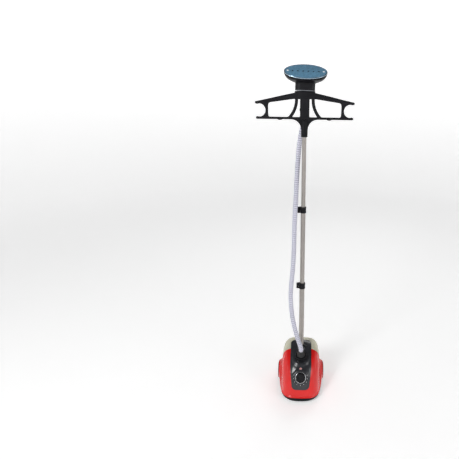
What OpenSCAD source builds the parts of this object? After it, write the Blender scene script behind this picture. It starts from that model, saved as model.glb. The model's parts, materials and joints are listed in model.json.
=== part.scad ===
// Standing garment steamer. A wheeled boiler base carries a telescopic pole with a garment hanger, and a
// braided steam hose runs up to the handset that rests in the hanger's hub.
// +Z is up, -Y is the front, +X is the user's right. The origin is on the floor under the middle of the base.

/* [Base] */
// Half width of the red body above the tray
body_half_w = 102; // [100:1:103]
// Height of the lower edge of the body, on top of the tray
body_bottom = 24; // [23:0.5:25]
// Height of the top of the body dome
body_top = 225; // [224:1:226]
// Front of the red body at its lower edge
nose_y = -119; // [-120:0.5:-117]
// Rear of the red body
tail_y = 122; // [120:0.5:123]
// Wall of the plastic shells
wall = 2.5; // [2:0.25:3]
// Half width of the dark control strip
strip_half_w = 53; // [52:1:54]
// Height of the shelf that the water tank stands on
shelf_z = 102; // [101:0.5:103]

/* [Wheels] */
// Radius of the rear wheels
wheel_r = 42; // [41.5:0.5:42.5]
// Distance from the middle of the base back to the axle
wheel_y = 73; // [72.5:0.5:74]
// Outer face of each tyre, from the middle
wheel_face_x = 121; // [120:0.5:122]
// Width of each tyre
tyre_w = 22; // [20:0.5:22]
// Radius of the axle
axle_r = 4; // [3.5:0.25:4.5]

/* [Controls] */
// Height of the dial's centre on the control strip
dial_z = 130; // [127:1:133]
// Radius of the dial knob
dial_r = 24; // [22:0.5:25]
// Backward lean of the strip's face at the dial, in degrees
dial_lean = 32; // [30:1:34]
// Forward lean of the hose connector, in degrees
port_lean = 25; // [23:1:27]
// Outer radius of the hose nut
nut_r = 27; // [26:0.5:28]

/* [Pole] */
// Distance of the pole behind the middle of the base
pole_y = 27; // [26:0.5:28]
// Outer radius of the lower tube
lower_r = 12.5; // [12:0.25:13]
// Outer radius of the middle tube
middle_r = 11; // [10.75:0.25:11.25]
// Outer radius of the upper tube
upper_r = 9.5; // [9.25:0.25:9.75]
// Wall of each tube
tube_wall = 0.9; // [0.8:0.1:1]
// Height of the foot of the lower clamp
clamp_low_z = 558; // [550:1:566]
// Height of the foot of the upper clamp
clamp_high_z = 938; // [930:1:946]

/* [Hanger] */
// Height of the middle of the lower bar
hanger_z = 1344; // [1330:1:1350]
// Half width over the hook tips
hanger_half_w = 203; // [198:1:206]
// Thickness of the hanger plate
hanger_t = 14; // [12:0.5:15]
// Radius of the open hooks at the ends
hook_r = 22.5; // [21:0.5:23]

/* [Handset] */
// Half length of the steam plate
plate_a = 87.5; // [85:0.5:90]
// Half depth of the steam plate
plate_b = 49; // [47:0.5:51]
// Lean of the steam plate from level, in degrees
plate_lean = 37; // [35:1:39]
// Sideways lean of the resting handset, in degrees
rest_lean = 1.5; // [1:0.25:2]
// Outer radius of the handle
handle_r = 15.5; // [15:0.25:16]
// Radius of the braided hose
hose_r = 11; // [10:0.25:11.5]

/* [Hidden] */
$fn = 64;

gap = 0.4;                 // seam between neighbouring shells
running = 0.06;            // radial clearance of a running fit

// ---- shared body form -------------------------------------------------------------------------------

crown_y = 78;              // where the dome is highest
mid_base_y = 8;            // widest place of the body, at its lower edge
body_h = body_top - body_bottom;
side_taper = 8;            // how much each side leans in up to the top
front_roundness = 3.2;     // plan exponent of the nose at the lower edge
nose_taper = 1.5;          // how far that exponent falls up to the top
rear_roundness = 6;        // plan exponent of the squarer rear
rows = 15;
cols = 56;
cap_t = 0.9985;            // where the rings stop, just short of the top

function sgn_pow(v, p) = sign(v) * pow(abs(v), p);
function rise(i) = cap_t * (1 - pow(1 - i / rows, 2));
function half_w(t, o) = (body_half_w - side_taper * t - o) * pow(1 - pow(t, 8), 1 / 2.6);
function front_y(t, o) = crown_y - (crown_y - nose_y - o) * pow(1 - pow(t, 2.8), 1 / 1.5);
function rear_y(t, o) = crown_y + (tail_y - o - crown_y) * pow(1 - pow(t, 24), 1 / 2.5);
function mid_y(t) = mid_base_y + (crown_y - mid_base_y) * pow(t, 3);
function body_ring(t, z, o) = [
    for (j = [0 : cols - 1])
        let (a = 360 * j / cols, n = a > 180 ? front_roundness - nose_taper * t : rear_roundness)
        [
            half_w(t, o) * sgn_pow(cos(a), 2 / n),
            mid_y(t) + sgn_pow(sin(a), 2 / n)
                * (a > 180 ? mid_y(t) - front_y(t, o) : rear_y(t, o) - mid_y(t)),
            z
        ]
];

// A closed solid through rings of equal point count.
module skin(rings) {
    n = len(rings[0]);
    m = len(rings);
    polyhedron(
        points = [for (r = rings) each r],
        faces = concat(
            [[for (j = [0 : n - 1]) j]],
            [for (i = [0 : m - 2]) for (j = [0 : n - 1])
                [i * n + j, (i + 1) * n + j, (i + 1) * n + (j + 1) % n, i * n + (j + 1) % n]],
            [[for (j = [n - 1 : -1 : 0]) (m - 1) * n + j]]
        ),
        convexity = 6
    );
}

// The whole outer form, drawn in by o. With o above 0 it also reaches below the body's edge.
module body_form(o = 0) {
    drop = o > 0 ? 4 : 0;
    skin(concat(
        drop > 0 ? [body_ring(0, body_bottom - drop, o)] : [],
        [for (i = [0 : rows]) body_ring(rise(i), body_bottom + (body_h - o) * rise(i), o)]
    ));
}

module body_wall() difference() {
    body_form();
    body_form(wall);
}

// Everything inside a shell module is evaluated as one smooth mesh.
module one_mesh() resize([0, 0, 0]) children();

// Front outline of the control strip, in X and Z: a tall tongue with a round lower end.
strip_foot_r = 20;
strip_foot_x = 24;
strip_foot_z = 92;
strip_shoulder_z = 165;
strip_top_z = 260;
module strip_outline(o = 0) offset(delta = o) for (side = [0, 1]) mirror([side, 0]) {
    translate([strip_foot_x, strip_foot_z]) circle(strip_foot_r);
    polygon([[-1, strip_foot_z - strip_foot_r], [strip_foot_x, strip_foot_z - strip_foot_r],
             [strip_foot_x + strip_foot_r, strip_foot_z], [strip_half_w, strip_shoulder_z],
             [strip_half_w, strip_top_z], [-1, strip_top_z]]);
}

// The strip, run from the nose back to y.
module strip_zone(back, o = 0) translate([0, back, 0]) rotate([90, 0, 0])
    linear_extrude(back - nose_y + 20) strip_outline(o);

// Plan curve between the body and the tank: straight at the sides, a bell round the pole in the middle.
seam_y = 27;
bell = 31;
function seam(x) = seam_y + (abs(x) < strip_half_w ? bell * (0.5 + 0.5 * cos(180 * x / strip_half_w)) : 0);
far = 150;                 // beyond every side of the base
module front_plan(o = 0) polygon(concat(
    [[-far, -far], [far, -far], [far, seam_y + o]],
    [for (i = [10 : -1 : -10]) let (x = strip_half_w * i / 10) [x, seam(x) + o]],
    [[-far, seam_y + o]]
));

cover_back = 80;
cover_corner_r = 20;
module cover_plan(o = 0) offset(delta = o) offset(cover_corner_r) offset(-cover_corner_r)
    translate([-strip_half_w, -2 * cover_corner_r])
        square([2 * strip_half_w, cover_back + 2 * cover_corner_r]);

module slab(z0, z1) translate([-far, -far, z0]) cube([2 * far, 2 * far, z1 - z0]);

// Frames of the tilted fittings.
dial_t = (dial_z - body_bottom) / body_h;
dial_y = front_y(dial_t, 0);
port_y = -24;
port_z = 194;
lamp_z = 161;
lamp_lean = 48;
lamp_y = front_y((lamp_z - body_bottom) / body_h, 0);
module at_dial() translate([0, dial_y, dial_z]) rotate([90 - dial_lean, 0, 0]) children();
module at_port() translate([0, port_y, port_z]) rotate([port_lean, 0, 0]) children();
module at_lamp() translate([0, lamp_y, lamp_z]) rotate([lamp_lean, 0, 0]) children();
module at_pole(z = 0) translate([0, pole_y, z]) children();
module tube(outer, inner, h) difference() {
    cylinder(r = outer, h = h);
    translate([0, 0, -1]) cylinder(r = inner, h = h + 2);
}

// ---- base: shells -----------------------------------------------------------------------------------

tray_z = 8;
tray_half_w = body_half_w + 2;
tray_front = nose_y - 6;
tray_rear_half = 88;       // half width between the wheels
tray_bend_y = 26;          // where the tray narrows in front of the wheels
tray_rear = tail_y - 4;
tray_corner = 14;
tray_floor = 3;
tray_mid_y = 4;
tray_roundness = 2.7;

function tray_arc(o) = [
    for (a = [0 : 7.5 : 180])
        [
            (tray_half_w - o) * sgn_pow(cos(a), 2 / tray_roundness),
            tray_mid_y - (tray_mid_y - tray_front - o) * pow(sin(a), 2 / tray_roundness)
        ]
];
module tray_plan(o = 0) polygon(concat(
    tray_arc(o),
    [[-tray_half_w + o, tray_bend_y - o], [-tray_rear_half + o, tray_bend_y - o],
     [-tray_rear_half + o, tray_rear - tray_corner], [-tray_rear_half + tray_corner + o, tray_rear - o],
     [tray_rear_half - tray_corner - o, tray_rear - o], [tray_rear_half - o, tray_rear - tray_corner],
     [tray_rear_half - o, tray_bend_y - o], [tray_half_w - o, tray_bend_y - o]]
));

feet_xy = [[-58, -78], [58, -78]];
screw_xy = [[-74, -50], [74, -50], [-62, 96], [62, 96]];
boiler_y = -36;
boiler_r = 42;
well_y = 81;
bracket_x = 74;            // middle of each axle bracket
bracket_size = [8, 20, 44];
boss_r = 6;
boss_h = 22;
screw_r = 2;
screw_head_r = 4.2;
post_ring_r = 34;          // circle of the three posts under the boiler
post_r = 5;

module base_tray() color([0.07, 0.07, 0.07]) difference() {
    union() {
        difference() {
            translate([0, 0, tray_z]) linear_extrude(body_bottom - tray_z) tray_plan();
            translate([0, 0, tray_z + tray_floor]) linear_extrude(body_bottom) tray_plan(wall);
        }
        for (side = [-1, 1])
            translate([side * bracket_x - bracket_size[0] / 2, wheel_y - bracket_size[1] / 2, tray_z + 1])
                cube(bracket_size);
        for (p = screw_xy) translate([p[0], p[1], tray_z + 1]) cylinder(r = boss_r, h = boss_h);
        for (a = [30, 150, 270])
            translate([post_ring_r * cos(a), boiler_y + post_ring_r * sin(a), tray_z + 1])
                cylinder(r = post_r, h = boiler_z - tray_z - 1);
    }
    wheel_disc(axle_r, -far, far);
    for (p = screw_xy) translate([p[0], p[1], 0]) {
        translate([0, 0, tray_z - 1]) cylinder(r = screw_head_r + 0.3, h = 4);
        cylinder(r = screw_r, h = 2 * boss_h);
    }
}

// A fender over each wheel, with the wheel's own well cut out of it.
fender_r = wheel_r + 7;
fender_x = wheel_face_x - 3.5;
fender_in_x = 93.5;
well_r = wheel_r + 2.5;
well_x = wheel_face_x - tyre_w - 3;
module wheel_disc(r, x0, x1) translate([x0, wheel_y, wheel_r]) rotate([0, 90, 0])
    cylinder(r = r, h = x1 - x0, $fn = 72);
module fender(side) mirror([side < 0 ? 1 : 0, 0, 0]) intersection() {
    wheel_disc(fender_r, fender_in_x, fender_x);
    slab(body_bottom, body_top);
}
module wheel_space() for (side = [0, 1]) mirror([side, 0, 0]) {
    wheel_disc(well_r, well_x, far);
    translate([well_x, wheel_y - fender_r, 0]) cube([far - well_x, fender_r + well_r, body_bottom + 6]);
}

module body_shell() color([0.85, 0.08, 0.07]) one_mesh() difference() {
    union() {
        difference() {
            body_wall();
            difference() {
                slab(shelf_z - gap, 2 * far);
                translate([-far, -far, 0]) cube([2 * far, far + seam_y, 2 * far]);
            }
        }
        fender(-1);
        fender(1);
    }
    strip_zone(seam_y + 1, gap);
    wheel_space();
    wheel_disc(axle_r + 1, -far, far);
    translate([0, tail_y + 10, gland_z]) rotate([90, 0, 0]) cylinder(r = gland_r + 0.1, h = 30);
}

module control_panel() color([0.10, 0.10, 0.11]) one_mesh() difference() {
    intersection() {
        body_wall();
        strip_zone(crown_y);
        linear_extrude(2 * far) front_plan();
    }
    at_port() cylinder(r = flange_r + 0.2, h = 60, center = true);
    at_dial() cylinder(r = bezel_r + 0.2, h = 30, center = true);
    at_lamp() cylinder(r = lamp_r + 0.1, h = 30, center = true);
    at_pole() cylinder(r = socket_r + 0.2, h = 2 * far);
}

// Rear wall and floor of the bay that the tank drops into.
bay_half_w = 92;
bay_back = 110;
module tank_bay() color([0.75, 0.08, 0.07]) one_mesh() difference() {
    intersection() {
        body_form(wall + 0.2);
        union() {
            slab(shelf_z - 4, shelf_z - 1);
            difference() {
                translate([0, 0, shelf_z - 4]) linear_extrude(2 * far) front_plan(-gap);
                linear_extrude(2 * far) front_plan(-gap - 2);
            }
        }
    }
    linear_extrude(shelf_z + 10) front_plan(-30);
    at_pole() cylinder(r = lower_r + 1.5, h = 2 * far);
    translate([0, well_y, 0]) cylinder(r = well_outer_r + 0.2, h = 2 * far);
    difference() {
        slab(shelf_z - 4.5, shelf_z + 0.5);
        translate([-bay_half_w, 20, 0]) cube([2 * bay_half_w, bay_back - 20, 2 * far]);
    }
}

// ---- base: running gear -----------------------------------------------------------------------------

axle_end = wheel_face_x - 9;
module wheel_axle() color([0.75, 0.75, 0.77]) translate([-axle_end, wheel_y, wheel_r]) rotate([0, 90, 0])
    cylinder(r = axle_r, h = 2 * axle_end);

module axle_caps() color([0.6, 0.6, 0.62]) for (side = [0, 1]) mirror([side, 0, 0])
    translate([axle_end - 4, wheel_y, wheel_r]) rotate([0, 90, 0]) tube(7, axle_r, 2.5);

foot_r = 9;
module front_feet() color([0.05, 0.05, 0.05]) for (p = feet_xy) translate([p[0], p[1], 0]) {
    cylinder(r = foot_r, h = 2);
    translate([0, 0, 2]) cylinder(r1 = foot_r, r2 = foot_r - 1, h = tray_z - 2);
}

module base_screws() color([0.7, 0.7, 0.7]) for (p = screw_xy) translate([p[0], p[1], tray_z]) {
    cylinder(r = screw_head_r, h = tray_floor);
    translate([0, 0, tray_floor]) cylinder(r = screw_r, h = boss_h - 6);
}

// A wheel is drawn with its outer face towards +Z, at z = 0.
rim_r = 34;
hub_r = 9;
module tyre_form() rotate_extrude($fn = 96) polygon([
    [rim_r, -tyre_w], [wheel_r - 2.5, -tyre_w], [wheel_r, -tyre_w + 3], [wheel_r, -3],
    [wheel_r - 1, -1], [wheel_r - 3, 0], [rim_r + 2, 0], [rim_r, -1]
]);
slots = 5;
slot_in = 19;              // from the axle to the slot's inner end
slot_out = 29;
slot_r = 3.5;
disc_t = 4;
cap_room_r = 7.5;
module rim_form() difference() {
    union() {
        translate([0, 0, -disc_t - 1.5]) cylinder(r = rim_r, h = disc_t, $fn = 96);
        translate([0, 0, -tyre_w + 1]) tube(rim_r, rim_r - 3, tyre_w - 3);
        translate([0, 0, -tyre_w]) cylinder(r = hub_r, h = tyre_w - 2);
    }
    for (k = [0 : slots - 1]) rotate([0, 0, 360 * k / slots + 20]) translate([0, 0, -2 * disc_t]) {
        translate([slot_in, -slot_r, 0]) cube([slot_out - slot_in, 2 * slot_r, 2 * disc_t]);
        for (x = [slot_in, slot_out]) translate([x, 0, 0]) cylinder(r = slot_r, h = 2 * disc_t);
    }
    translate([0, 0, -tyre_w - 1]) cylinder(r = axle_r + running, h = tyre_w - 6);
    translate([0, 0, -15]) cylinder(r = cap_room_r, h = 8);
}
module on_axle(side) mirror([side < 0 ? 1 : 0, 0, 0]) translate([wheel_face_x, wheel_y, wheel_r])
    rotate([0, 90, 0]) children();

module tyre_left() color([0.05, 0.05, 0.05]) on_axle(-1) tyre_form();
module rim_left() color([0.85, 0.08, 0.07]) on_axle(-1) rim_form();
module tyre_right() color([0.05, 0.05, 0.05]) on_axle(1) tyre_form();
module rim_right() color([0.85, 0.08, 0.07]) on_axle(1) rim_form();

// ---- base: boiler and water path --------------------------------------------------------------------

boiler_z = 34;
boiler_h = 44;
boiler_wall = 6;
gasket_t = 2;
lid_t = 6;
element_r = 28;            // ring of the heating element
lead_x = 12;               // its two leads
module at_boiler(z) translate([0, boiler_y, z]) children();

module boiler_body() color([0.78, 0.78, 0.8]) at_boiler(boiler_z) difference() {
    cylinder(r = boiler_r, h = boiler_h, $fn = 96);
    translate([0, 0, boiler_wall - 1]) cylinder(r = boiler_r - boiler_wall, h = boiler_h, $fn = 96);
    for (x = [-lead_x, lead_x]) translate([x, -element_r, -1]) cylinder(r = 2.5, h = 10);
}
module boiler_gasket() color([0.6, 0.15, 0.1]) at_boiler(boiler_z + boiler_h) difference() {
    cylinder(r = boiler_r, h = gasket_t, $fn = 96);
    translate([0, 0, -1]) cylinder(r = boiler_r - boiler_wall, h = 5, $fn = 96);
}
lid_z = boiler_z + boiler_h + gasket_t;
pipe_y = -30;
inlet_y = -8;
outlet_h = 16;
module boiler_lid() color([0.8, 0.8, 0.82]) difference() {
    union() {
        at_boiler(lid_z) cylinder(r = boiler_r, h = lid_t, $fn = 96);
        translate([0, pipe_y, lid_z]) cylinder(r = 7, h = outlet_h);
        translate([0, inlet_y, lid_z]) cylinder(r = 5, h = 14);
    }
    translate([0, pipe_y, lid_z - 1]) cylinder(r = 5, h = 30);
    translate([0, inlet_y, lid_z - 1]) cylinder(r = 3, h = 30);
}
module boiler_screws() color([0.6, 0.6, 0.6]) for (k = [0 : 5]) at_boiler(lid_z + lid_t)
    rotate([0, 0, 60 * k]) translate([boiler_r - 4, 0, 0]) cylinder(r = 3, h = 2.5);
module heating_element() color([0.45, 0.45, 0.47]) at_boiler(boiler_z + 11) {
    rotate_extrude($fn = 72) translate([element_r, 0]) circle(3.5, $fn = 24);
    for (x = [-lead_x, lead_x]) translate([x, -element_r, -20]) cylinder(r = 2, h = 17);
}
module thermostat() color([0.85, 0.82, 0.75]) at_boiler(lid_z + lid_t) translate([24, -12, 0]) {
    cylinder(r = 8, h = 7);
    translate([-2, -6, 7]) cube([4, 12, 5]);
}
module thermal_fuse() color([0.9, 0.9, 0.88]) at_boiler(lid_z + lid_t) translate([-24, -18, 0]) {
    translate([-3, 0, 0]) cube([6, 14, 2]);
    translate([0, -2, 5]) rotate([-90, 0, 0]) cylinder(r = 3, h = 18);
}
well_outer_r = 25;
well_floor_z = 80;
well_floor_t = 2;
drain_y = -12;             // the outlet, from the well's middle
drain_h = 10;
module valve_well() color([0.12, 0.12, 0.12]) translate([0, well_y, 0]) {
    translate([0, 0, well_floor_z]) tube(well_outer_r, well_outer_r - 3.5, shelf_z - 1 - well_floor_z);
    difference() {
        translate([0, 0, well_floor_z - well_floor_t]) cylinder(r = well_outer_r, h = well_floor_t);
        translate([0, drain_y, well_floor_z - 10]) cylinder(r = 3, h = 20);
    }
    translate([0, 0, well_floor_z]) cylinder(r = 2.5, h = 7);
    translate([0, drain_y, well_floor_z - well_floor_t - drain_h]) tube(5, 3, drain_h);
}

// A round tube swept through points, with its end faces square to the end directions.
function unit(v) = v / norm(v);
function spline(p, i, u) = let (
        a = p[max(i - 1, 0)], b = p[i], c = p[i + 1], d = p[min(i + 2, len(p) - 1)]
    ) 0.5 * ((2 * b) + (c - a) * u + (2 * a - 5 * b + 4 * c - d) * u * u
        + (3 * b - a - 3 * c + d) * u * u * u);
function smooth_path(p, k) = concat(
    [for (i = [0 : len(p) - 2]) for (s = [0 : k - 1]) spline(p, i, s / k)],
    [p[len(p) - 1]]
);
function direction(q, i, first, last) = i == 0 ? first : i == len(q) - 1 ? last
    : unit(q[i + 1] - q[i - 1]);
side_hint = [0.5, 0.3, 0.8];   // never in line with a swept tube
module sweep(q, r, sides, first, last) skin([
    for (i = [0 : len(q) - 1])
        let (
            d = direction(q, i, unit(first), unit(last)),
            side = unit(cross(side_hint, d)),
            up = cross(d, side)
        )
        [for (j = [0 : sides - 1]) let (a = 360 * j / sides) q[i] + r * (cos(a) * side + sin(a) * up)]
]);

water_points = [[0, well_y + drain_y, well_floor_z - well_floor_t - drain_h], [0, 66, 56],
    [12, 50, 52], [22, 28, 62], [23, 10, 84], [22, 0, 104], [18, -5, 116], [11, -7, 121],
    [4, inlet_y, 116], [0, inlet_y, 106], [0, inlet_y, 94]];
water_tube_r = 4.5;
module water_tube() color([0.85, 0.85, 0.82]) sweep(smooth_path(water_points, 2), water_tube_r, 10,
    [0, 0, -1], [0, 0, -1]);

port_dir = [0, -sin(port_lean), cos(port_lean)];
port_tail_s = -22;          // inner end of the connector along the port's axis
port_tail = [0, port_y, port_z] + port_tail_s * port_dir;
pipe_points = [[0, pipe_y, lid_z + outlet_h], [0, pipe_y, lid_z + outlet_h + 14], [0, -22, 138],
    [0, -13, 158], port_tail];
module steam_pipe() color([0.8, 0.78, 0.72]) sweep(smooth_path(pipe_points, 2), 8.5, 12, [0, 0, 1], port_dir);

// ---- base: fittings ---------------------------------------------------------------------------------

neck_bore = 9;
neck_r = 15;
neck_top = 18;
flange_r = 29.5;
cuff_neck_r = 17;
cuff_lip_r = 22;
lip_s = 24;                // under side of the nut's inner lip
nut_h = 29;
lug_z = 7;                 // two lugs hold the nut
module hose_connector() color([0.12, 0.12, 0.12]) at_port() difference() {
    union() {
        translate([0, 0, port_tail_s]) cylinder(r = neck_r, h = neck_top - port_tail_s);
        translate([0, 0, -6]) cylinder(r = flange_r, h = 5);
        translate([0, 0, -1]) cylinder(r1 = flange_r, r2 = flange_r - 3, h = 2.5);
        for (a = [0, 180]) rotate([0, 0, a]) intersection() {
            translate([0, 0, lug_z]) cylinder(r = cuff_lip_r - 0.5, h = 4);
            translate([0, -8, 0]) cube([30, 16, 20]);
        }
    }
    translate([0, 0, port_tail_s - 1]) cylinder(r = neck_bore, h = 60);
}

steps = 5;
step_h = 8.4;
cuff_top = nut_h + 1 + steps * step_h;
module hose_cuff() color([0.06, 0.06, 0.06]) at_port() difference() {
    union() {
        translate([0, 0, neck_top]) cylinder(r = cuff_lip_r - running, h = lip_s - neck_top - 0.2);
        translate([0, 0, neck_top]) cylinder(r = cuff_neck_r, h = nut_h + 3 - neck_top);
        for (k = [0 : steps - 1]) translate([0, 0, nut_h + 1 + step_h * k]) {
            cylinder(r = cuff_neck_r + 3 - 1.35 * k, h = step_h - 3);
            cylinder(r = cuff_neck_r + 0.4 - 1.2 * k, h = step_h);
        }
    }
    translate([0, 0, 10]) cylinder(r = neck_bore, h = 80);
}

knurls = 24;
knurl_r = 1.8;
module hose_nut() color([0.05, 0.05, 0.05]) at_port() difference() {
    translate([0, 0, 2]) cylinder(r = nut_r, h = nut_h - 2, $fn = 96);
    cylinder(r = cuff_lip_r, h = lip_s, $fn = 96);
    cylinder(r = cuff_neck_r + running, h = 60);
    for (k = [0 : knurls - 1]) rotate([0, 0, 360 * k / knurls]) translate([nut_r + 0.8, 0, 5])
        cylinder(r = knurl_r, h = nut_h - 9, $fn = 16);
}

socket_z = 212.5;          // foot of the socket's cone, on the dome
socket_r = 22;
socket_h = 10;
module pole_socket() color([0.10, 0.10, 0.11]) at_pole(socket_z) difference() {
    union() {
        translate([0, 0, -socket_h / 2]) cylinder(r = socket_r, h = socket_h / 2);
        cylinder(r1 = socket_r, r2 = socket_r - 3, h = socket_h);
    }
    translate([0, 0, -socket_h]) cylinder(r = lower_r, h = 3 * socket_h);
}

ring_z = socket_z + socket_h + 0.3;
ring_r = 16.5;
ring_h = 15;
ring_lug = [16, 10, 7];
ring_grips = 12;
module pole_lock_ring() color([0.05, 0.05, 0.05]) at_pole(ring_z) difference() {
    union() {
        cylinder(r = ring_r, h = ring_h);
        translate([ring_r / 2, -ring_lug[1] / 2, 2]) cube(ring_lug);
    }
    translate([0, 0, -1]) cylinder(r = lower_r + running, h = 2 * ring_h);
    for (k = [0.5 : ring_grips]) rotate([0, 0, 360 * k / ring_grips])
        translate([ring_r + 0.9, 0, ring_h - 6.5]) cylinder(r = knurl_r, h = ring_h, $fn = 16);
}

module pole_foot() color([0.1, 0.1, 0.1]) at_pole(tray_z + tray_floor) difference() {
    cylinder(r = lower_r + 3.5, h = 22);
    translate([0, 0, 3]) cylinder(r = lower_r, h = 30);
}

shaft_r = 3;
bezel_r = 27;
bezel_lip = 1.8;
bezel_foot = 5;            // depth of the bezel's foot below the strip's face
module dial_bezel() color([0.8, 0.81, 0.83]) at_dial() difference() {
    translate([0, 0, -bezel_foot]) cylinder(r = bezel_r, h = bezel_foot + 3, $fn = 96);
    translate([0, 0, 1]) cylinder(r = bezel_r - bezel_lip, h = 9, $fn = 96);
    translate([0, 0, -bezel_foot - 1]) cylinder(r = 2 * shaft_r, h = 10);
}
knob_grips = 6;
module dial_knob() color([0.06, 0.06, 0.06]) at_dial() difference() {
    union() {
        translate([0, 0, 1.4]) cylinder(r1 = dial_r, r2 = dial_r - 1.5, h = 9, $fn = 96);
        translate([0, 0, 10.4]) cylinder(r1 = dial_r - 1.5, r2 = dial_r - 5, h = 4, $fn = 96);
        for (k = [0 : knob_grips - 1]) rotate([0, 0, 30 * k + (k < knob_grips / 2 ? 30 : 120)])
            translate([dial_r - 5, 0, 6]) cylinder(r = 2.6, h = 9.4, $fn = 24);
    }
    cylinder(r = shaft_r, h = 8);
}
shaft_tail = 24;
module dial_shaft() color([0.7, 0.7, 0.72]) at_dial() translate([0, 0, -shaft_tail])
    cylinder(r = shaft_r, h = shaft_tail + 8);
valve_size = [32, 28, 18];
module steam_regulator() color([0.2, 0.2, 0.22]) at_dial() difference() {
    union() {
        translate([-valve_size[0] / 2, -valve_size[1] / 2, -2 * valve_size[2]]) cube(valve_size);
        translate([0, 0, -valve_size[2]]) cylinder(r = 8, h = 10);
    }
    translate([0, 0, -30]) cylinder(r = shaft_r + running, h = 40);
}
lamp_r = 5.2;
module indicator_lamp() color([0.85, 0.55, 0.5]) at_lamp() {
    translate([0, 0, -8]) cylinder(r = lamp_r, h = 9);
    translate([0, 0, 0.4]) cylinder(r1 = lamp_r + 1.8, r2 = lamp_r + 0.3, h = 1.8);
}

gland_z = 58;
gland_r = 7.5;
gland_bore = 3.8;
gland_in = 104;            // inner end of the gland
gland_out = tail_y + 3;
module cord_gland() color([0.06, 0.06, 0.06]) translate([0, 0, gland_z]) rotate([-90, 0, 0]) difference() {
    union() {
        translate([0, 0, gland_in]) cylinder(r = gland_r, h = tail_y + 1 - gland_in);
        translate([0, 0, tail_y + 0.2])
            cylinder(r1 = gland_r + 3.5, r2 = gland_r + 2, h = gland_out - tail_y - 0.2);
    }
    translate([0, 0, gland_in - 1]) cylinder(r = gland_bore, h = 30);
}

wire_points = [[12, -64, 24], [26, -84, 32], [38, -84, 60], [32, -82, 84], [18, -74, 98]];
supply_points = [[0, gland_in, gland_z], [30, 84, 30], [60, 40, 18], [62, -20, 18], [42, -74, 30],
    [34, -82, 62], [22, -86, 86], [8, -76, 100]];
module wiring() color([0.75, 0.2, 0.15]) {
    sweep(smooth_path(wire_points, 2), 1.8, 8, [0.6, -0.8, 0], [-0.8, 0.4, 0.5]);
    sweep(smooth_path(supply_points, 2), 2.2, 8, [0, -1, 0], [-0.8, 0.4, 0.5]);
}

// ---- water tank -------------------------------------------------------------------------------------

module tank_zone(o, z0) difference() {
    slab(z0, 2 * far);
    linear_extrude(3 * far) front_plan(o);
}
cover_low = 150;           // the cover stays above this height
cover_t = 3.5;
mouth_r = 16;              // filling mouth, closed by the cap
module water_tank() color([0.80, 0.79, 0.70, 0.8]) one_mesh() difference() {
    intersection() {
        body_form();
        tank_zone(gap, shelf_z);
    }
    intersection() {
        body_form(wall);
        tank_zone(gap + wall, shelf_z + wall);
    }
    translate([0, 0, cover_low]) linear_extrude(far) cover_plan(gap);
    translate([0, well_y, 90]) cylinder(r = mouth_r + 0.2, h = 30);
}
module tank_cover() color([0.13, 0.13, 0.14]) one_mesh() intersection() {
    difference() {
        body_form();
        body_form(cover_t);
    }
    tank_zone(gap, cover_low);
    linear_extrude(2 * far) cover_plan();
}
cap_z = 90.5;
module tank_cap() color([0.1, 0.1, 0.1]) translate([0, well_y, 0]) difference() {
    union() {
        translate([0, 0, cap_z]) cylinder(r = mouth_r + 4, h = shelf_z - cap_z);
        translate([0, 0, cap_z + 4.5]) cylinder(r = mouth_r, h = 16);
    }
    translate([0, 0, cap_z + 2.5]) cylinder(r = mouth_r - 2, h = 30);
    translate([0, 0, well_floor_z]) cylinder(r = 6, h = 30);
}
module valve_plunger() color([0.9, 0.9, 0.9]) translate([0, well_y, 0]) {
    translate([0, 0, cap_z - 3.2]) cylinder(r = 3, h = 18);
    translate([0, 0, cap_z + 2.5]) cylinder(r = 8, h = 2);
}

// ---- pole -------------------------------------------------------------------------------------------

clamp_h = 32;
tube_end = 23;             // height inside the clamp at which the outer tube stops
foot_z = tray_z + 6;
overlap = 65;              // length of each tube inside the next
lower_top = clamp_low_z + tube_end;
middle_top = clamp_high_z + tube_end;
middle_bottom = lower_top - overlap;
upper_bottom = middle_top - overlap;
upper_top = hanger_z - 2;
bush_h = 30;

module pole_tube(r, z0, z1) at_pole(z0) tube(r, r - tube_wall, z1 - z0);
module pole_lower() color([0.70, 0.68, 0.65]) pole_tube(lower_r, foot_z, lower_top);
module pole_middle() color([0.70, 0.68, 0.65]) pole_tube(middle_r, middle_bottom, middle_top);
module pole_upper() color([0.70, 0.68, 0.65]) pole_tube(upper_r, upper_bottom, upper_top);
module bush_lower() color([0.1, 0.1, 0.1]) at_pole(lower_top - bush_h)
    tube(lower_r - tube_wall, middle_r + running, bush_h);
module bush_upper() color([0.1, 0.1, 0.1]) at_pole(middle_top - bush_h)
    tube(middle_r - tube_wall, upper_r + running, bush_h);

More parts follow.
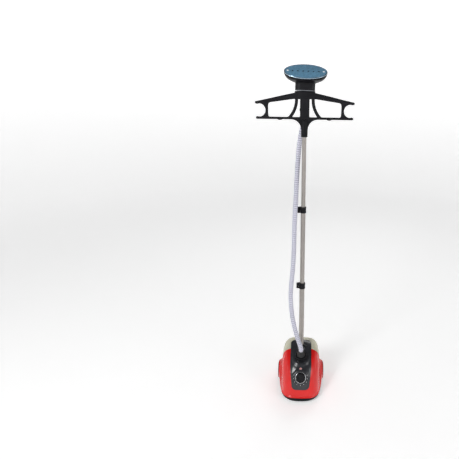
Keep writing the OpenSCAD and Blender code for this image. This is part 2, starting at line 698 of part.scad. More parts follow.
// A clamp body round a tube of radius r, with two ears on its left that hold the lever's pin.
pin_r = 2;
ear_r = 5.5;
ear_h = 6.5;
clamp_t = 3;
lever_z = ear_h + 0.3;
lever_h = clamp_h - 2 * lever_z;
function pin_x(r) = -(r + clamp_t + ear_r + 1);
module clamp_form(r, inner) difference() {
    union() {
        cylinder(r = r + clamp_t, h = clamp_h);
        for (z = [0, clamp_h - ear_h]) translate([0, 0, z]) {
            translate([pin_x(r), 0, 0]) cylinder(r = ear_r, h = ear_h);
            translate([pin_x(r), -ear_r, 0]) cube([ear_r + 2.5, 2 * ear_r, ear_h]);
        }
    }
    translate([0, 0, -1]) cylinder(r = r, h = tube_end + 1);
    cylinder(r = inner + running, h = 60);
    translate([pin_x(r), 0, -1]) cylinder(r = pin_r, h = 60);
}
module lever_form(r) difference() {
    union() {
        translate([pin_x(r), 0, lever_z]) cylinder(r = ear_r - 0.2, h = lever_h);
        intersection() {
            translate([0, 0, lever_z]) tube(r + clamp_t + 6.5, r + clamp_t + 1.2, lever_h);
            linear_extrude(60) polygon([[0, 0], [-60, 4], [-60, 60], [12, 60]]);
        }
    }
    translate([pin_x(r), 0, -1]) cylinder(r = pin_r + running, h = 60);
    cylinder(r = r + clamp_t + 0.6, h = 60);
}
module clamp_pin(r) translate([pin_x(r), 0, 0]) cylinder(r = pin_r, h = clamp_h);
module clamp_lower() color([0.06, 0.06, 0.06]) at_pole(clamp_low_z) clamp_form(lower_r, middle_r);
module clamp_pin_lower() color([0.7, 0.7, 0.7]) at_pole(clamp_low_z) clamp_pin(lower_r);
module lever_lower() color([0.08, 0.08, 0.08]) at_pole(clamp_low_z) lever_form(lower_r);
module clamp_upper() color([0.06, 0.06, 0.06]) at_pole(clamp_high_z) clamp_form(middle_r, upper_r);
module clamp_pin_upper() color([0.7, 0.7, 0.7]) at_pole(clamp_high_z) clamp_pin(middle_r);
module lever_upper() color([0.08, 0.08, 0.08]) at_pole(clamp_high_z) lever_form(middle_r);

// ---- hanger -----------------------------------------------------------------------------------------

// The plate's outline in X and Z, from the middle of the lower bar.
bar_half = 6.5;
tip_r = 6;
hook_x = hanger_half_w - 19;
hook_z = 30;
hook_post = 38;            // from the hook's middle to the post's inner side
bar_top_mid = 104;
column_half = 19.5;
arch_mid = [138, 79];      // centre of the curved struts
arch_r = 104;
sleeve_r = 14;
sleeve_low = -71;
funnel_r = 42;
funnel_low = -47;
bump = [102, -1];
module half_outline() {
    translate([0, -bar_half]) square([hanger_half_w - 7, 2 * bar_half]);
    translate([hanger_half_w - 7, 0]) circle(bar_half);
    translate([hanger_half_w - 6, 4]) circle(tip_r);
    polygon([[0, 78], [42, 78], [hook_x - hook_post, 70], [hook_x - 12, 58], [hanger_half_w - 3, 57],
             [hanger_half_w - 2, 67], [hook_x - 25, 80], [110, 93], [70, 101], [42, bar_top_mid],
             [0, bar_top_mid]]);
    translate([hanger_half_w - 3, 62.7]) circle(tip_r);
    difference() {
        polygon([[hook_x - hook_post, 0], [hook_x + 6, 0], [hook_x + 6, 64], [hook_x - 40, 76],
                 [hook_x - hook_post + 3, 60], [hook_x - hook_post + 3, 16]]);
        translate([hook_x, hook_z]) circle(hook_r);
    }
    square([column_half, 90]);
    intersection() {
        translate([30, 0]) square([46, 84]);
        difference() {
            translate(arch_mid) circle(arch_r + bar_half, $fn = 128);
            translate(arch_mid) circle(arch_r - bar_half, $fn = 128);
        }
    }
    difference() {
        translate([0, funnel_low]) square([sleeve_r + funnel_r, -funnel_low]);
        translate([sleeve_r + funnel_r, funnel_low]) circle(funnel_r);
    }
    translate(bump) scale([1, 0.56]) circle(13.5);
}
module hub_plan(a, b) {
    translate([-(a - b), 0]) circle(b);
    translate([a - b, 0]) circle(b);
    translate([-(a - b), -b]) square([2 * (a - b), 2 * b]);
}
hub_y = 47;
hub_a = 43;
hub_b = 29;
hub_wall = 3.5;
hub_low = 80;              // foot of the hub above the lower bar
rim_z = 1455;              // top edge of the hub, where the handset rests
handle_y = 10;             // handle axis behind the hub's middle
module hanger_frame() color([0.05, 0.05, 0.05]) difference() {
    union() {
        translate([0, pole_y + hanger_t / 2, hanger_z]) rotate([90, 0, 0]) linear_extrude(hanger_t) {
            half_outline();
            mirror([1, 0]) half_outline();
        }
        at_pole(hanger_z + sleeve_low) cylinder(r = sleeve_r, h = -sleeve_low);
        translate([0, hub_y, hanger_z + hub_low]) linear_extrude(rim_z - hanger_z - hub_low)
            hub_plan(hub_a, hub_b);
    }
    at_pole(hanger_z + sleeve_low - 9) cylinder(r = upper_r, h = upper_top - hanger_z - sleeve_low + 9);
    translate([0, hub_y, hanger_z + hub_low + 5]) linear_extrude(60)
        hub_plan(hub_a - hub_wall, hub_b - hub_wall);
    translate([0, hub_y + handle_y, hanger_z]) cylinder(r = handle_r + 2.4, h = 100);
}

function lean_x(z) = (z - rim_z) * tan(rest_lean);
clip_z = hanger_z + 38;
clip_h = 12;
clip_t = 3.3;
clip_bore = handle_r + 1.2;
clip_arm = 8;              // half width of the arm
module cradle_clip() color([0.05, 0.05, 0.05]) difference() {
    union() {
        translate([lean_x(clip_z), hub_y + handle_y, clip_z - clip_h / 2])
            cylinder(r = clip_bore + clip_t, h = clip_h);
        translate([-clip_arm, pole_y + hanger_t / 2, clip_z - clip_h / 2])
            cube([2 * clip_arm, clip_arm, clip_h]);
    }
    translate([lean_x(clip_z), hub_y + handle_y, clip_z - clip_h]) cylinder(r = clip_bore, h = 2 * clip_h);
    translate([-12, hub_y + handle_y + 6, clip_z - clip_h]) cube([22, 30, 2 * clip_h]);
    translate([-30, pole_y - 10, clip_z - clip_h]) cube([60, 10 + hanger_t / 2, 2 * clip_h]);
}

// ---- handset ----------------------------------------------------------------------------------------

// The handset's own frame: z = 0 on the hub's rim, x and y = 0 on the hub's middle.
module handset() translate([0, hub_y, rim_z]) rotate([0, rest_lean, 0]) children();
plate_c = [0, -25, 72];
neck_a = 41.5;
neck_b = 24.5;
head_base = 31;            // where the neck ends and the head flares
module at_plate() handset() translate(plate_c) rotate([plate_lean, 0, 0]) children();

function bowl_ring(c, a, b, lean, n) = [
    for (j = [0 : 47])
        let (g = 360 * j / 48, x = a * sgn_pow(cos(g), 2 / n), v = b * sgn_pow(sin(g), 2 / n))
        [x, c[1] + v * cos(lean), c[2] + v * sin(lean)]
];
function bowl(s, o) = let (
        grow = sin(90 * s),
        lift = 0.4 * s + 0.6 * (1 - cos(90 * s)),
        c = (1 - lift) * [0, 0, head_base] + lift * plate_c
    ) bowl_ring(c, neck_a + (plate_a - neck_a) * grow - o, neck_b + (plate_b - neck_b) * grow - o,
        plate_lean * lift, 3.2 - 1.2 * grow);
module head_form(o, z0, top) skin(concat(
    [bowl_ring([0, 0, z0], neck_a - o, neck_b - o, 0, 3.2)],
    [for (i = [0 : top > 0 ? 9 : 10]) bowl(i / 10, o)],
    top > 0 ? [bowl_ring(plate_c + top * [0, -sin(plate_lean), cos(plate_lean)],
        plate_a - o, plate_b - o, plate_lean, 2)] : []
));
module head_shell() color([0.05, 0.05, 0.05]) handset() one_mesh() difference() {
    head_form(0, 3, 0);
    head_form(3, 8, 5);
    translate([0, handle_y, -1]) cylinder(r = handle_r - wall, h = 12);
}
function plate_edge(a, b) = [for (g = [0 : 5 : 355]) [a * cos(g), b * sin(g)]];
hole_step = 21;
hole_r = 2.4;
plate_t = 3;
rim_w = 4;
stud_x = 72;
module steam_plate() color([0.30, 0.50, 0.66]) at_plate() difference() {
    translate([0, 0, 0.1]) linear_extrude(plate_t)
        polygon(plate_edge(plate_a - rim_w - 0.2, plate_b - rim_w - 0.2));
    for (k = [-2.5 : 2.5]) translate([hole_step * k, 0, -1]) cylinder(r = hole_r, h = 2 * plate_t);
}
module plate_rim() color([0.65, 0.72, 0.78]) at_plate() difference() {
    translate([0, 0, 0.1]) linear_extrude(plate_t - 0.4) polygon(plate_edge(plate_a, plate_b));
    translate([0, 0, -1]) linear_extrude(2 * plate_t) polygon(plate_edge(plate_a - rim_w, plate_b - rim_w));
}
module plate_studs() color([0.85, 0.87, 0.9]) at_plate() for (x = [-stud_x, stud_x])
    translate([x, 0, plate_t + 0.1]) cylinder(r1 = 4, r2 = 2.6, h = 1.6);
module neck_ring() color([0.55, 0.56, 0.57]) handset() translate([0, 0, 1.3]) difference() {
    linear_extrude(1.7) hub_plan(neck_a, neck_b);
    translate([0, handle_y, -1]) cylinder(r = handle_r, h = 6);
}
handle_low = -112;
module handle_grip() color([0.05, 0.05, 0.05]) handset() translate([0, handle_y, handle_low])
    tube(handle_r, handle_r - wall, 3 - handle_low);
tail_h = 10;
module tail_cuff() color([0.05, 0.05, 0.05]) handset() translate([0, handle_y, handle_low - tail_h])
    difference() {
        cylinder(r1 = handle_r - 1, r2 = handle_r, h = tail_h);
        translate([0, 0, -1]) cylinder(r = hose_r + 1, h = 2 * tail_h);
    }

// ---- hose -------------------------------------------------------------------------------------------

// Centre line, from the top of the cuff on the base to a point well inside the handle.
cuff_end = [0, port_y, port_z] + cuff_top * port_dir;
handle_dir = [sin(rest_lean), 0, cos(rest_lean)];
handle_axis = [0, hub_y + handle_y, rim_z];
function in_handle(s) = handle_axis + s * handle_dir;
hose_points = concat(
    [cuff_end, cuff_end + 14 * port_dir],
    [[-5, -69, 300], [-18, -72, 345], [-34, -66, 405], [-46, -56, 470], [-52, -46, 540], [-50, -38, 610],
     [-44, -31, 680], [-40, -23, 760], [-39, -12, 840], [-37, 0, 920], [-34, 17, 1000], [-31, 36, 1080],
     [-27, 51, 1160], [-22, 58, 1230], [-14, 58, 1285]],
    [in_handle(handle_low - tail_h), in_handle(handle_low + 20), in_handle(-35)]
);
module steam_hose() color([0.86, 0.86, 0.90]) sweep(smooth_path(hose_points, 3), hose_r, 12, port_dir,
    handle_dir);

base_tray();
body_shell();
control_panel();
tank_bay();
wheel_axle();
axle_caps();
front_feet();
base_screws();
boiler_body();
boiler_gasket();
boiler_lid();
boiler_screws();
heating_element();
thermostat();
thermal_fuse();
valve_well();
water_tube();
steam_pipe();
hose_connector();
hose_cuff();
pole_socket();
pole_foot();
dial_bezel();
indicator_lamp();
steam_regulator();
cord_gland();
wiring();
pole_lower();
bush_lower();
clamp_lower();
clamp_pin_lower();
tyre_left();
rim_left();
tyre_right();
rim_right();
dial_knob();
dial_shaft();
water_tank();
tank_cover();
tank_cap();
valve_plunger();
hose_nut();
pole_lock_ring();
lever_lower();
pole_middle();
bush_upper();
clamp_upper();
clamp_pin_upper();
lever_upper();
pole_upper();
hanger_frame();
cradle_clip();
head_shell();
steam_plate();
plate_rim();
plate_studs();
neck_ring();
handle_grip();
tail_cuff();
steam_hose();
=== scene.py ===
import json
import math

import bmesh
import bpy
import numpy as np
from mathutils import Matrix, Vector


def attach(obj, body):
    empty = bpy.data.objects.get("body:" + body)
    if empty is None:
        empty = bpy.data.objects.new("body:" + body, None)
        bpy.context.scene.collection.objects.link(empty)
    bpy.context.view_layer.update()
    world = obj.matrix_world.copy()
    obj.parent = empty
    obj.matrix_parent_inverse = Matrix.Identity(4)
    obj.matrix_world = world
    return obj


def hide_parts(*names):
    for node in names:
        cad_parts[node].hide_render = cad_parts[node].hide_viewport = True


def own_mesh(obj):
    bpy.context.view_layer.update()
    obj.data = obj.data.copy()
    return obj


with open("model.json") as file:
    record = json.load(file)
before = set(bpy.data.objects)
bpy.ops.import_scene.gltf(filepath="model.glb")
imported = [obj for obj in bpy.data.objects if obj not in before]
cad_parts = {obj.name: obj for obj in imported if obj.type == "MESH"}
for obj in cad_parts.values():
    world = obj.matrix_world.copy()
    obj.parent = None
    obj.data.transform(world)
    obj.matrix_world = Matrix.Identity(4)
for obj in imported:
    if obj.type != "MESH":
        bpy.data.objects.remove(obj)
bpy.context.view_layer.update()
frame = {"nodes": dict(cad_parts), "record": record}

MM = 0.001

# ---- camera, at the photograph's viewing angle ------------------------------------------------------

FOCAL_PX = 366.3
IMAGE_PX = 459
SENSOR = 36.0
camera_data = bpy.data.cameras.new("camera")
camera_data.sensor_width = SENSOR
camera_data.lens = FOCAL_PX * SENSOR / IMAGE_PX
camera_data.shift_x = -0.1623
camera_data.shift_y = 0.0054
camera = bpy.data.objects.new("camera", camera_data)
camera.matrix_world = (
    Matrix.Translation((0.0053, -1.5701, 1.3984))
    @ Matrix.Rotation(math.pi / 2 - 0.3319, 4, "X")
    @ Matrix.Rotation(0.0164, 4, "Z")
)
bpy.context.scene.collection.objects.link(camera)
bpy.context.scene.camera = camera
bpy.context.scene.view_settings.view_transform = "Standard"

# ---- small helpers ----------------------------------------------------------------------------------


def smooth(value):
    """Smoothstep from 0 to 1."""
    v = np.clip(value, 0.0, 1.0)
    return v * v * (3 - 2 * v)


def unit(v):
    v = np.asarray(v, float)
    return v / np.linalg.norm(v, axis=-1, keepdims=True)


def shaded(mesh, soft_angle):
    """Smooth shading that stays sharp over soft_angle degrees."""
    mesh.shade_smooth()
    mesh.set_sharp_from_angle(angle=math.radians(soft_angle))


def faced_out(mesh, weld=0.0):
    """Turns a mesh's faces outwards, and first joins points nearer than weld."""
    work = bmesh.new()
    work.from_mesh(mesh)
    if weld:
        bmesh.ops.remove_doubles(work, verts=work.verts, dist=weld)
    bmesh.ops.recalc_face_normals(work, faces=work.faces)
    work.to_mesh(mesh)
    work.free()


def linked(name, data):
    obj = bpy.data.objects.new(name, data)
    bpy.context.scene.collection.objects.link(obj)
    return obj


def mesh_object(name, points, faces, soft_angle=40):
    """A mesh of points and faces, with smooth shading that stays sharp over soft_angle degrees."""
    mesh = bpy.data.meshes.new(name)
    mesh.from_pydata([tuple(p) for p in points], [], [tuple(int(i) for i in f) for f in faces])
    faced_out(mesh)
    obj = linked(name, mesh)
    shaded(mesh, soft_angle)
    return obj


def applied(obj, soft_angle=40):
    """Turns obj's modifiers into its mesh."""
    bpy.context.view_layer.update()
    evaluated = obj.evaluated_get(bpy.context.evaluated_depsgraph_get())
    mesh = bpy.data.meshes.new_from_object(evaluated)
    obj.modifiers.clear()
    obj.data = mesh
    shaded(mesh, soft_angle)
    return obj


def bevelled(obj, width, segments=2, angle=50):
    bevel = obj.modifiers.new("edges", "BEVEL")
    bevel.width = width
    bevel.segments = segments
    bevel.limit_method = "ANGLE"
    bevel.angle_limit = math.radians(angle)
    bevel.harden_normals = False
    return applied(obj, soft_angle=60)


def thickened(obj, depth, width):
    """A shell of an open surface, depth metres inwards, with rounded rims."""
    solid = obj.modifiers.new("wall", "SOLIDIFY")
    solid.thickness = depth
    solid.offset = -1.0
    return bevelled(obj, width)


def grid_faces(rows, cols, closed=False):
    """Faces of a grid of points numbered row by row. A closed grid joins its last column to its first."""
    last = cols if closed else cols - 1
    return [
        (r * cols + c, r * cols + (c + 1) % cols, (r + 1) * cols + (c + 1) % cols, (r + 1) * cols + c)
        for r in range(rows - 1)
        for c in range(last)
    ]


def ring_faces(rows, cols, closed=False):
    """Faces of a stack of rings: closed joins the last ring to the first, otherwise each end has a cap."""
    last = (rows - 1) * cols
    if closed:
        ends = [(last + k, last + (k + 1) % cols, (k + 1) % cols, k) for k in range(cols)]
    else:
        ends = [list(range(cols)), [last + k for k in range(cols)]]
    return grid_faces(rows, cols, closed=True) + ends


def grid_object(name, points, closed=False):
    """points has the shape rows, columns, 3."""
    rows, cols = points.shape[:2]
    return mesh_object(name, points.reshape(-1, 3), grid_faces(rows, cols, closed))


def rounded(corners, cut=0.0, closed=False, steps=5):
    """A polyline with its corners turned into curves. A corner may carry its own cut as a third value."""
    out, n = [], len(corners)
    for i, corner in enumerate(corners):
        here = np.array(corner[:2], float)
        reach = corner[2] if len(corner) > 2 else cut
        if reach == 0 or (not closed and i in (0, n - 1)):
            out.append(here)
            continue
        back, on = np.array(corners[i - 1][:2]) - here, np.array(corners[(i + 1) % n][:2]) - here
        a = here + back * min(reach / np.linalg.norm(back), 0.48)
        c = here + on * min(reach / np.linalg.norm(on), 0.48)
        out += [(1 - u) ** 2 * a + 2 * u * (1 - u) * here + u * u * c for u in np.linspace(0, 1, steps)]
    return np.array(out)


def arc(x, y, radius, first, last, steps=24, squash=1.0):
    """Corners along an arc, angles in degrees, each with a cut of 0."""
    angles = np.radians(np.linspace(first, last, steps))
    return [(x + radius * math.cos(a), y + squash * radius * math.sin(a), 0) for a in angles]


def lathe(name, profile, origin, axis, sides=96, closed=False, shape=None, soft_angle=40):
    """A turned piece. profile holds radii and heights in mm, and shape(r, h, angle) varies the radius."""
    profile = np.array(profile, float) * MM
    axis = unit(axis)
    side = unit(np.cross(axis, [0.0, 1.0, 0.03]))
    up = np.cross(axis, side)
    angle = np.linspace(0, 2 * math.pi, sides, endpoint=False)[None, :]
    r, h = profile[:, :1] + 0 * angle, profile[:, 1:] + 0 * angle
    if shape:
        r = shape(r, h, angle + 0 * r)
    around = np.cos(angle)[..., None] * side + np.sin(angle)[..., None] * up
    points = np.asarray(origin) + h[..., None] * axis + r[..., None] * around
    return mesh_object(name, points.reshape(-1, 3), ring_faces(len(profile), sides, closed), soft_angle)


def plate(name, loops, low, high, edge, place, soft_angle=50):
    """A flat piece between two levels, in millimetres: an outline, its holes, and edges rounded by edge."""
    curve = bpy.data.curves.new(name, "CURVE")
    curve.dimensions = "2D"
    curve.fill_mode = "BOTH"
    curve.extrude = ((high - low) / 2 - edge) * MM
    curve.bevel_depth = edge * MM
    curve.bevel_resolution = 2
    curve.offset = -edge * MM
    for loop in loops:
        strand = curve.splines.new("POLY")
        strand.points.add(len(loop) - 1)
        for point, corner in zip(strand.points, loop):
            point.co = (corner[0] * MM, corner[1] * MM, 0, 1)
        strand.use_cyclic_u = True
    obj = linked(name, curve)
    bpy.context.view_layer.update()
    mesh = bpy.data.meshes.new_from_object(obj.evaluated_get(bpy.context.evaluated_depsgraph_get()))
    bpy.data.objects.remove(obj)
    faced_out(mesh, weld=1e-6)
    mesh.transform(place @ Matrix.Translation((0, 0, (low + high) / 2 * MM)))
    shaded(mesh, soft_angle)
    return linked(name, mesh)


def combined(obj, others, operation="UNION", soft_angle=40):
    """obj with others added to it, or with others cut out of it."""
    for other in others:
        join = obj.modifiers.new("join", "BOOLEAN")
        join.operation = operation
        join.solver = "EXACT"
        join.object = other
        applied(obj, soft_angle)
        bpy.data.objects.remove(other)
    return obj


def axes_at(origin, across, up):
    """The matrix of a frame whose X runs across and whose Z runs up."""
    z = unit(up)
    y = unit(np.cross(z, across))
    x = np.cross(y, z)
    return Matrix([[x[i], y[i], z[i], origin[i]] for i in range(3)] + [[0, 0, 0, 1]])


def put(obj, body, slot, *replaced, finish=None):
    """obj rides on a body, takes its slot's finish or another, and stands for the CAD nodes in replaced."""
    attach(obj, body)
    obj.data.materials.clear()
    obj.data.materials.append(finish or SLOT_FINISH[slot])
    if replaced:
        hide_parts(*replaced)
        obj.name = obj.name.split(".")[0] + "_shape"
    return obj


# ---- materials --------------------------------------------------------------------------------------

COAT_ROUGH, SPECULAR = 0.04, 0.35
GRAIN_STRENGTH = 0.6
# Pointy edges are lightened by these: a painted highlight on the edges, which also stands for wear.
HIGHLIGHT_AND_WEAR_FROM, HIGHLIGHT_AND_WEAR_TO, HIGHLIGHT_AND_WEAR_LIFT = 0.51, 0.60, 0.25


def shader_node(nodes, kind, *values):
    """A new node with its sockets set from pairs of a name and a value."""
    node = nodes.new("ShaderNode" + kind)
    for socket, value in values:
        node.inputs[socket].default_value = value
    return node


def mixed(nodes, links, factor, plain, colour):
    """A colour socket that goes from plain to colour by factor."""
    mix = nodes.new("ShaderNodeMix")
    mix.data_type = "RGBA"
    links.new(factor, mix.inputs["Factor"])
    links.new(plain, mix.inputs["A"])
    mix.inputs["B"].default_value = colour
    return mix.outputs["Result"]


def finish_material(name, color, rough, metallic=0.0, coat=0.0, grain=900.0, depth=0.00002, blotch=9.0,
                    spread=0.08, rough_spread=0.06, stretch=(1, 1, 1), edge=0.0, sockets=()):
    """A moulded, rubbed or brushed surface: fine grain as bump, faint blotches in colour and gloss, and
    lighter edges where edge is above 0, which are a painted highlight on the edges and also stand for wear."""
    material = bpy.data.materials.new(name)
    material.use_nodes = True
    nodes, links = material.node_tree.nodes, material.node_tree.links
    shader = nodes["Principled BSDF"]
    common = (("Metallic", metallic), ("Coat Weight", coat), ("Coat Roughness", COAT_ROUGH),
              ("Specular IOR Level", SPECULAR))
    for socket, value in common + tuple(sockets):
        shader.inputs[socket].default_value = value
    place = shader_node(nodes, "TexCoord")
    mapping = shader_node(nodes, "Mapping", ("Scale", stretch))
    links.new(place.outputs["Object"], mapping.inputs["Vector"])

    broad = shader_node(nodes, "TexNoise", ("Scale", blotch), ("Detail", 4.0))
    links.new(place.outputs["Object"], broad.inputs["Vector"])
    ramp = nodes.new("ShaderNodeValToRGB")
    ramp.color_ramp.elements[0].position = 0.3
    ramp.color_ramp.elements[1].position = 0.7
    ramp.color_ramp.elements[0].color = [c * (1 - spread) for c in color] + [1]
    ramp.color_ramp.elements[1].color = [min(1.0, c * (1 + spread)) for c in color] + [1]
    links.new(broad.outputs["Fac"], ramp.inputs["Fac"])
    tint = ramp.outputs["Color"]
    if edge:
        # Pointy edges get a lighter colour: a painted highlight, and wear.
        shape = shader_node(nodes, "NewGeometry")
        highlight_and_wear = shader_node(nodes, "MapRange", ("From Min", HIGHLIGHT_AND_WEAR_FROM), ("From Max", HIGHLIGHT_AND_WEAR_TO),
                           ("To Max", edge))
        links.new(shape.outputs["Pointiness"], highlight_and_wear.inputs["Value"])
        tint = mixed(nodes, links, highlight_and_wear.outputs["Result"], tint,
                     [min(1.0, c + HIGHLIGHT_AND_WEAR_LIFT) for c in color] + [1])
    links.new(tint, shader.inputs["Base Color"])

    fine = shader_node(nodes, "TexNoise", ("Scale", grain), ("Detail", 3.0))
    links.new(mapping.outputs["Vector"], fine.inputs["Vector"])
    bump = shader_node(nodes, "Bump", ("Strength", GRAIN_STRENGTH), ("Distance", depth))
    links.new(fine.outputs["Fac"], bump.inputs["Height"])
    links.new(bump.outputs["Normal"], shader.inputs["Normal"])
    gloss = shader_node(nodes, "MapRange", ("From Min", 0.25), ("From Max", 0.75),
                        ("To Min", max(0.02, rough - rough_spread)),
                        ("To Max", min(1.0, rough + rough_spread)))
    source = fine if metallic else broad
    links.new(source.outputs["Fac"], gloss.inputs["Value"])
    links.new(gloss.outputs["Result"], shader.inputs["Roughness"])
    return material


RED = finish_material("red_plastic", (0.70, 0.009, 0.008), 0.22, coat=0.22, grain=350, depth=0.00002,
                      spread=0.05)
GRAPHITE = finish_material("graphite_plastic", (0.029, 0.030, 0.035), 0.22, coat=0.22, grain=350,
                           depth=0.00002, spread=0.10)
TANK = finish_material("tank_plastic", (0.62, 0.60, 0.47), 0.34, grain=420, depth=0.00003, spread=0.04,
                       sockets=[("Subsurface Weight", 0.35), ("Subsurface Scale", 0.02),
                                ("Subsurface Radius", (1.0, 0.9, 0.7)), ("Coat Weight", 0.15)])
# The edge values of the black, black gloss and rubber finishes paint a highlight on their edges, which also
# stands for wear.
BLACK = finish_material("black_plastic", (0.006, 0.006, 0.008), 0.48, grain=1400, depth=0.00005, spread=0.12,
                        edge=0.06, sockets=[("Specular IOR Level", 0.14)])
BLACK_GLOSS = finish_material("black_gloss", (0.006, 0.006, 0.008), 0.31, coat=0.05, grain=500, depth=0.00002,
                              spread=0.12, edge=0.06, sockets=[("Specular IOR Level", 0.16)])
RUBBER = finish_material("rubber", (0.020, 0.020, 0.021), 0.62, grain=1100, depth=0.00008, spread=0.15,
                         edge=0.10)
TUBE = finish_material("pole_metal", (0.36, 0.335, 0.315), 0.33, metallic=0.85, grain=260, depth=0.00001,
                       spread=0.05, rough_spread=0.10, stretch=(6, 6, 0.15))
STEEL = finish_material("steel", (0.60, 0.60, 0.62), 0.30, metallic=1.0, grain=900, depth=0.00001)
SILVER = finish_material("silver_ring", (0.78, 0.79, 0.82), 0.16, metallic=1.0, grain=700, depth=0.00001)
PLATE = finish_material("blue_plate", (0.135, 0.300, 0.450), 0.34, metallic=0.25, coat=0.2, grain=1500,
                        depth=0.00003, spread=0.22, rough_spread=0.12, blotch=120)
PLATE_EDGE = finish_material("plate_edge", (0.42, 0.56, 0.68), 0.22, metallic=0.9, grain=800, depth=0.00001)
STUD = finish_material("stud_metal", (0.82, 0.86, 0.90), 0.28, metallic=0.35, grain=800, depth=0.00001)
LIGHT_GREY = finish_material("light_grey", (0.30, 0.32, 0.35), 0.35, grain=900, depth=0.00003)
LAMP = finish_material("lamp_lens", (0.62, 0.30, 0.30), 0.15, coat=0.8, grain=500, depth=0.00001,
                       sockets=[("Subsurface Weight", 0.3), ("Subsurface Scale", 0.004)])
MARK = finish_material("white_mark", (0.80, 0.80, 0.82), 0.45, grain=1500, depth=0.00002)
CAST = finish_material("cast_metal", (0.60, 0.60, 0.62), 0.45, metallic=0.9, grain=500, depth=0.0001)
NYLON = finish_material("nylon", (0.78, 0.76, 0.70), 0.45, grain=900, depth=0.00003)
SEAL = finish_material("seal", (0.40, 0.07, 0.05), 0.55, grain=900, depth=0.00004)

# What each material slot of the record looks like, unless a piece asks for another finish.
SLOT_FINISH = {
    "red_shell": RED, "graphite": GRAPHITE, "tank_plastic": TANK, "black_plastic": BLACK,
    "black_gloss": BLACK_GLOSS, "tyre": RUBBER, "rubber": RUBBER, "tube": TUBE, "steel": STEEL,
    "silver": SILVER, "cast": CAST, "heater": STEEL, "silicone": NYLON, "seal": SEAL, "nylon": NYLON,
    "wire": SEAL, "lamp": LAMP, "plate_blue": PLATE, "plate_edge": PLATE_EDGE, "braid": NYLON,
    "ring_grey": LIGHT_GREY,
}

# ---- steam hose -------------------------------------------------------------------------------------

HOSE_R = 0.011
PORT = np.array([0.0, -0.024, 0.194])
PORT_LEAN = math.radians(25)
PORT_AXIS = np.array([0.0, -math.sin(PORT_LEAN), math.cos(PORT_LEAN)])
CUFF_END = PORT + 0.072 * PORT_AXIS
REST_LEAN = math.radians(1.5)
HANDLE_AXIS = np.array([math.sin(REST_LEAN), 0.0, math.cos(REST_LEAN)])
HANDLE_TOP = np.array([0.0, 0.057, 1.455])
TAIL_DEPTH = 0.122       # the foot of the tail cuff below the handle's top
HOSE_ROUTE = np.array(
    [CUFF_END, CUFF_END + 0.014 * PORT_AXIS]
    + [[x * MM, y * MM, z * MM] for x, y, z in (
        (-5, -69, 300), (-18, -72, 345), (-34, -66, 405), (-46, -56, 470), (-52, -46, 540), (-50, -38, 610),
        (-44, -31, 680), (-40, -23, 760), (-39, -12, 840), (-37, 0, 920), (-34, 17, 1000), (-31, 36, 1080),
        (-27, 51, 1160), (-22, 58, 1230), (-14, 58, 1285))]
    + [HANDLE_TOP + s * HANDLE_AXIS for s in (-TAIL_DEPTH, -0.092, -0.035)]
)


def spline(points, step):
    """Points about a step apart on a Catmull-Rom curve through points."""
    ends = np.vstack([points[:1], points, points[-1:]])
    found = []
    for i in range(len(points) - 1):
        a, b, c, d = ends[i:i + 4]
        n = max(2, int(np.linalg.norm(c - b) / step))
        u = np.linspace(0, 1, n, endpoint=False)[:, None]
        found.append(0.5 * (2 * b + (c - a) * u + (2 * a - 5 * b + 4 * c - d) * u ** 2
                            + (3 * b - a - 3 * c + d) * u ** 3))
    return np.vstack(found + [points[-1:]])


def along(path):
    """Running length along a path."""
    return np.concatenate([[0.0], np.cumsum(np.linalg.norm(np.diff(path, axis=0), axis=1))])


def tube_points(path, radius, sides):
    """Rings round a path: rows, sides, 3. radius is one number per row or per point."""
    tangent = unit(np.gradient(path, axis=0))
    side = unit(np.cross(tangent, [0.05, -1.0, 0.02]))
    up = np.cross(side, tangent)
    angle = np.linspace(0, 2 * math.pi, sides, endpoint=False)
    ring = np.cos(angle)[None, :, None] * side[:, None, :] + np.sin(angle)[None, :, None] * up[:, None, :]
    return path[:, None, :] + ring * np.broadcast_to(radius, (len(path), sides))[:, :, None]


STRANDS, CHEVRONS, REPEAT = 8, 5.0, 0.048
THREAD, THREAD_SHARE, THREAD_GAP = (0.10, 0.10, 0.17, 1), 0.34, 0.30
WEAVE, WEAVE_LAY = 0.0011, 0.006


def braid_material():
    """Pale braided sleeve with dark chevron threads. U runs once round the hose, V once each REPEAT."""
    material = finish_material("braid", (0.62, 0.62, 0.71), 0.70, grain=1800, depth=0.00006, spread=0.06)
    nodes, links = material.node_tree.nodes, material.node_tree.links
    shader = nodes["Principled BSDF"]
    shader.inputs["Sheen Weight"].default_value = 0.3
    uv = shader_node(nodes, "UVMap")
    uv.uv_map = "around"
    split = shader_node(nodes, "SeparateXYZ")
    links.new(uv.outputs["UV"], split.inputs["Vector"])

    def math_node(kind, a, b):
        node = nodes.new("ShaderNodeMath")
        node.operation = kind
        for socket, value in zip(node.inputs, (a, b)):
            if isinstance(value, (int, float)):
                socket.default_value = value
            elif value is not None:
                links.new(value, socket)
        return node.outputs[0]

    u = math_node("MULTIPLY", split.outputs["X"], float(STRANDS))
    v = math_node("MULTIPLY", split.outputs["Y"], CHEVRONS)
    fold = math_node("PINGPONG", u, 0.5)
    chevron = math_node("FRACT", math_node("ADD", v, fold), None)
    dash = math_node("FRACT", math_node("MULTIPLY", u, 2.0), None)
    line = math_node("LESS_THAN", chevron, THREAD_SHARE)
    broken = math_node("GREATER_THAN", dash, THREAD_GAP)
    dark = math_node("MULTIPLY", line, broken)
    base = shader.inputs["Base Color"].links[0].from_socket
    links.new(mixed(nodes, links, dark, base, THREAD), shader.inputs["Base Color"])
    return material


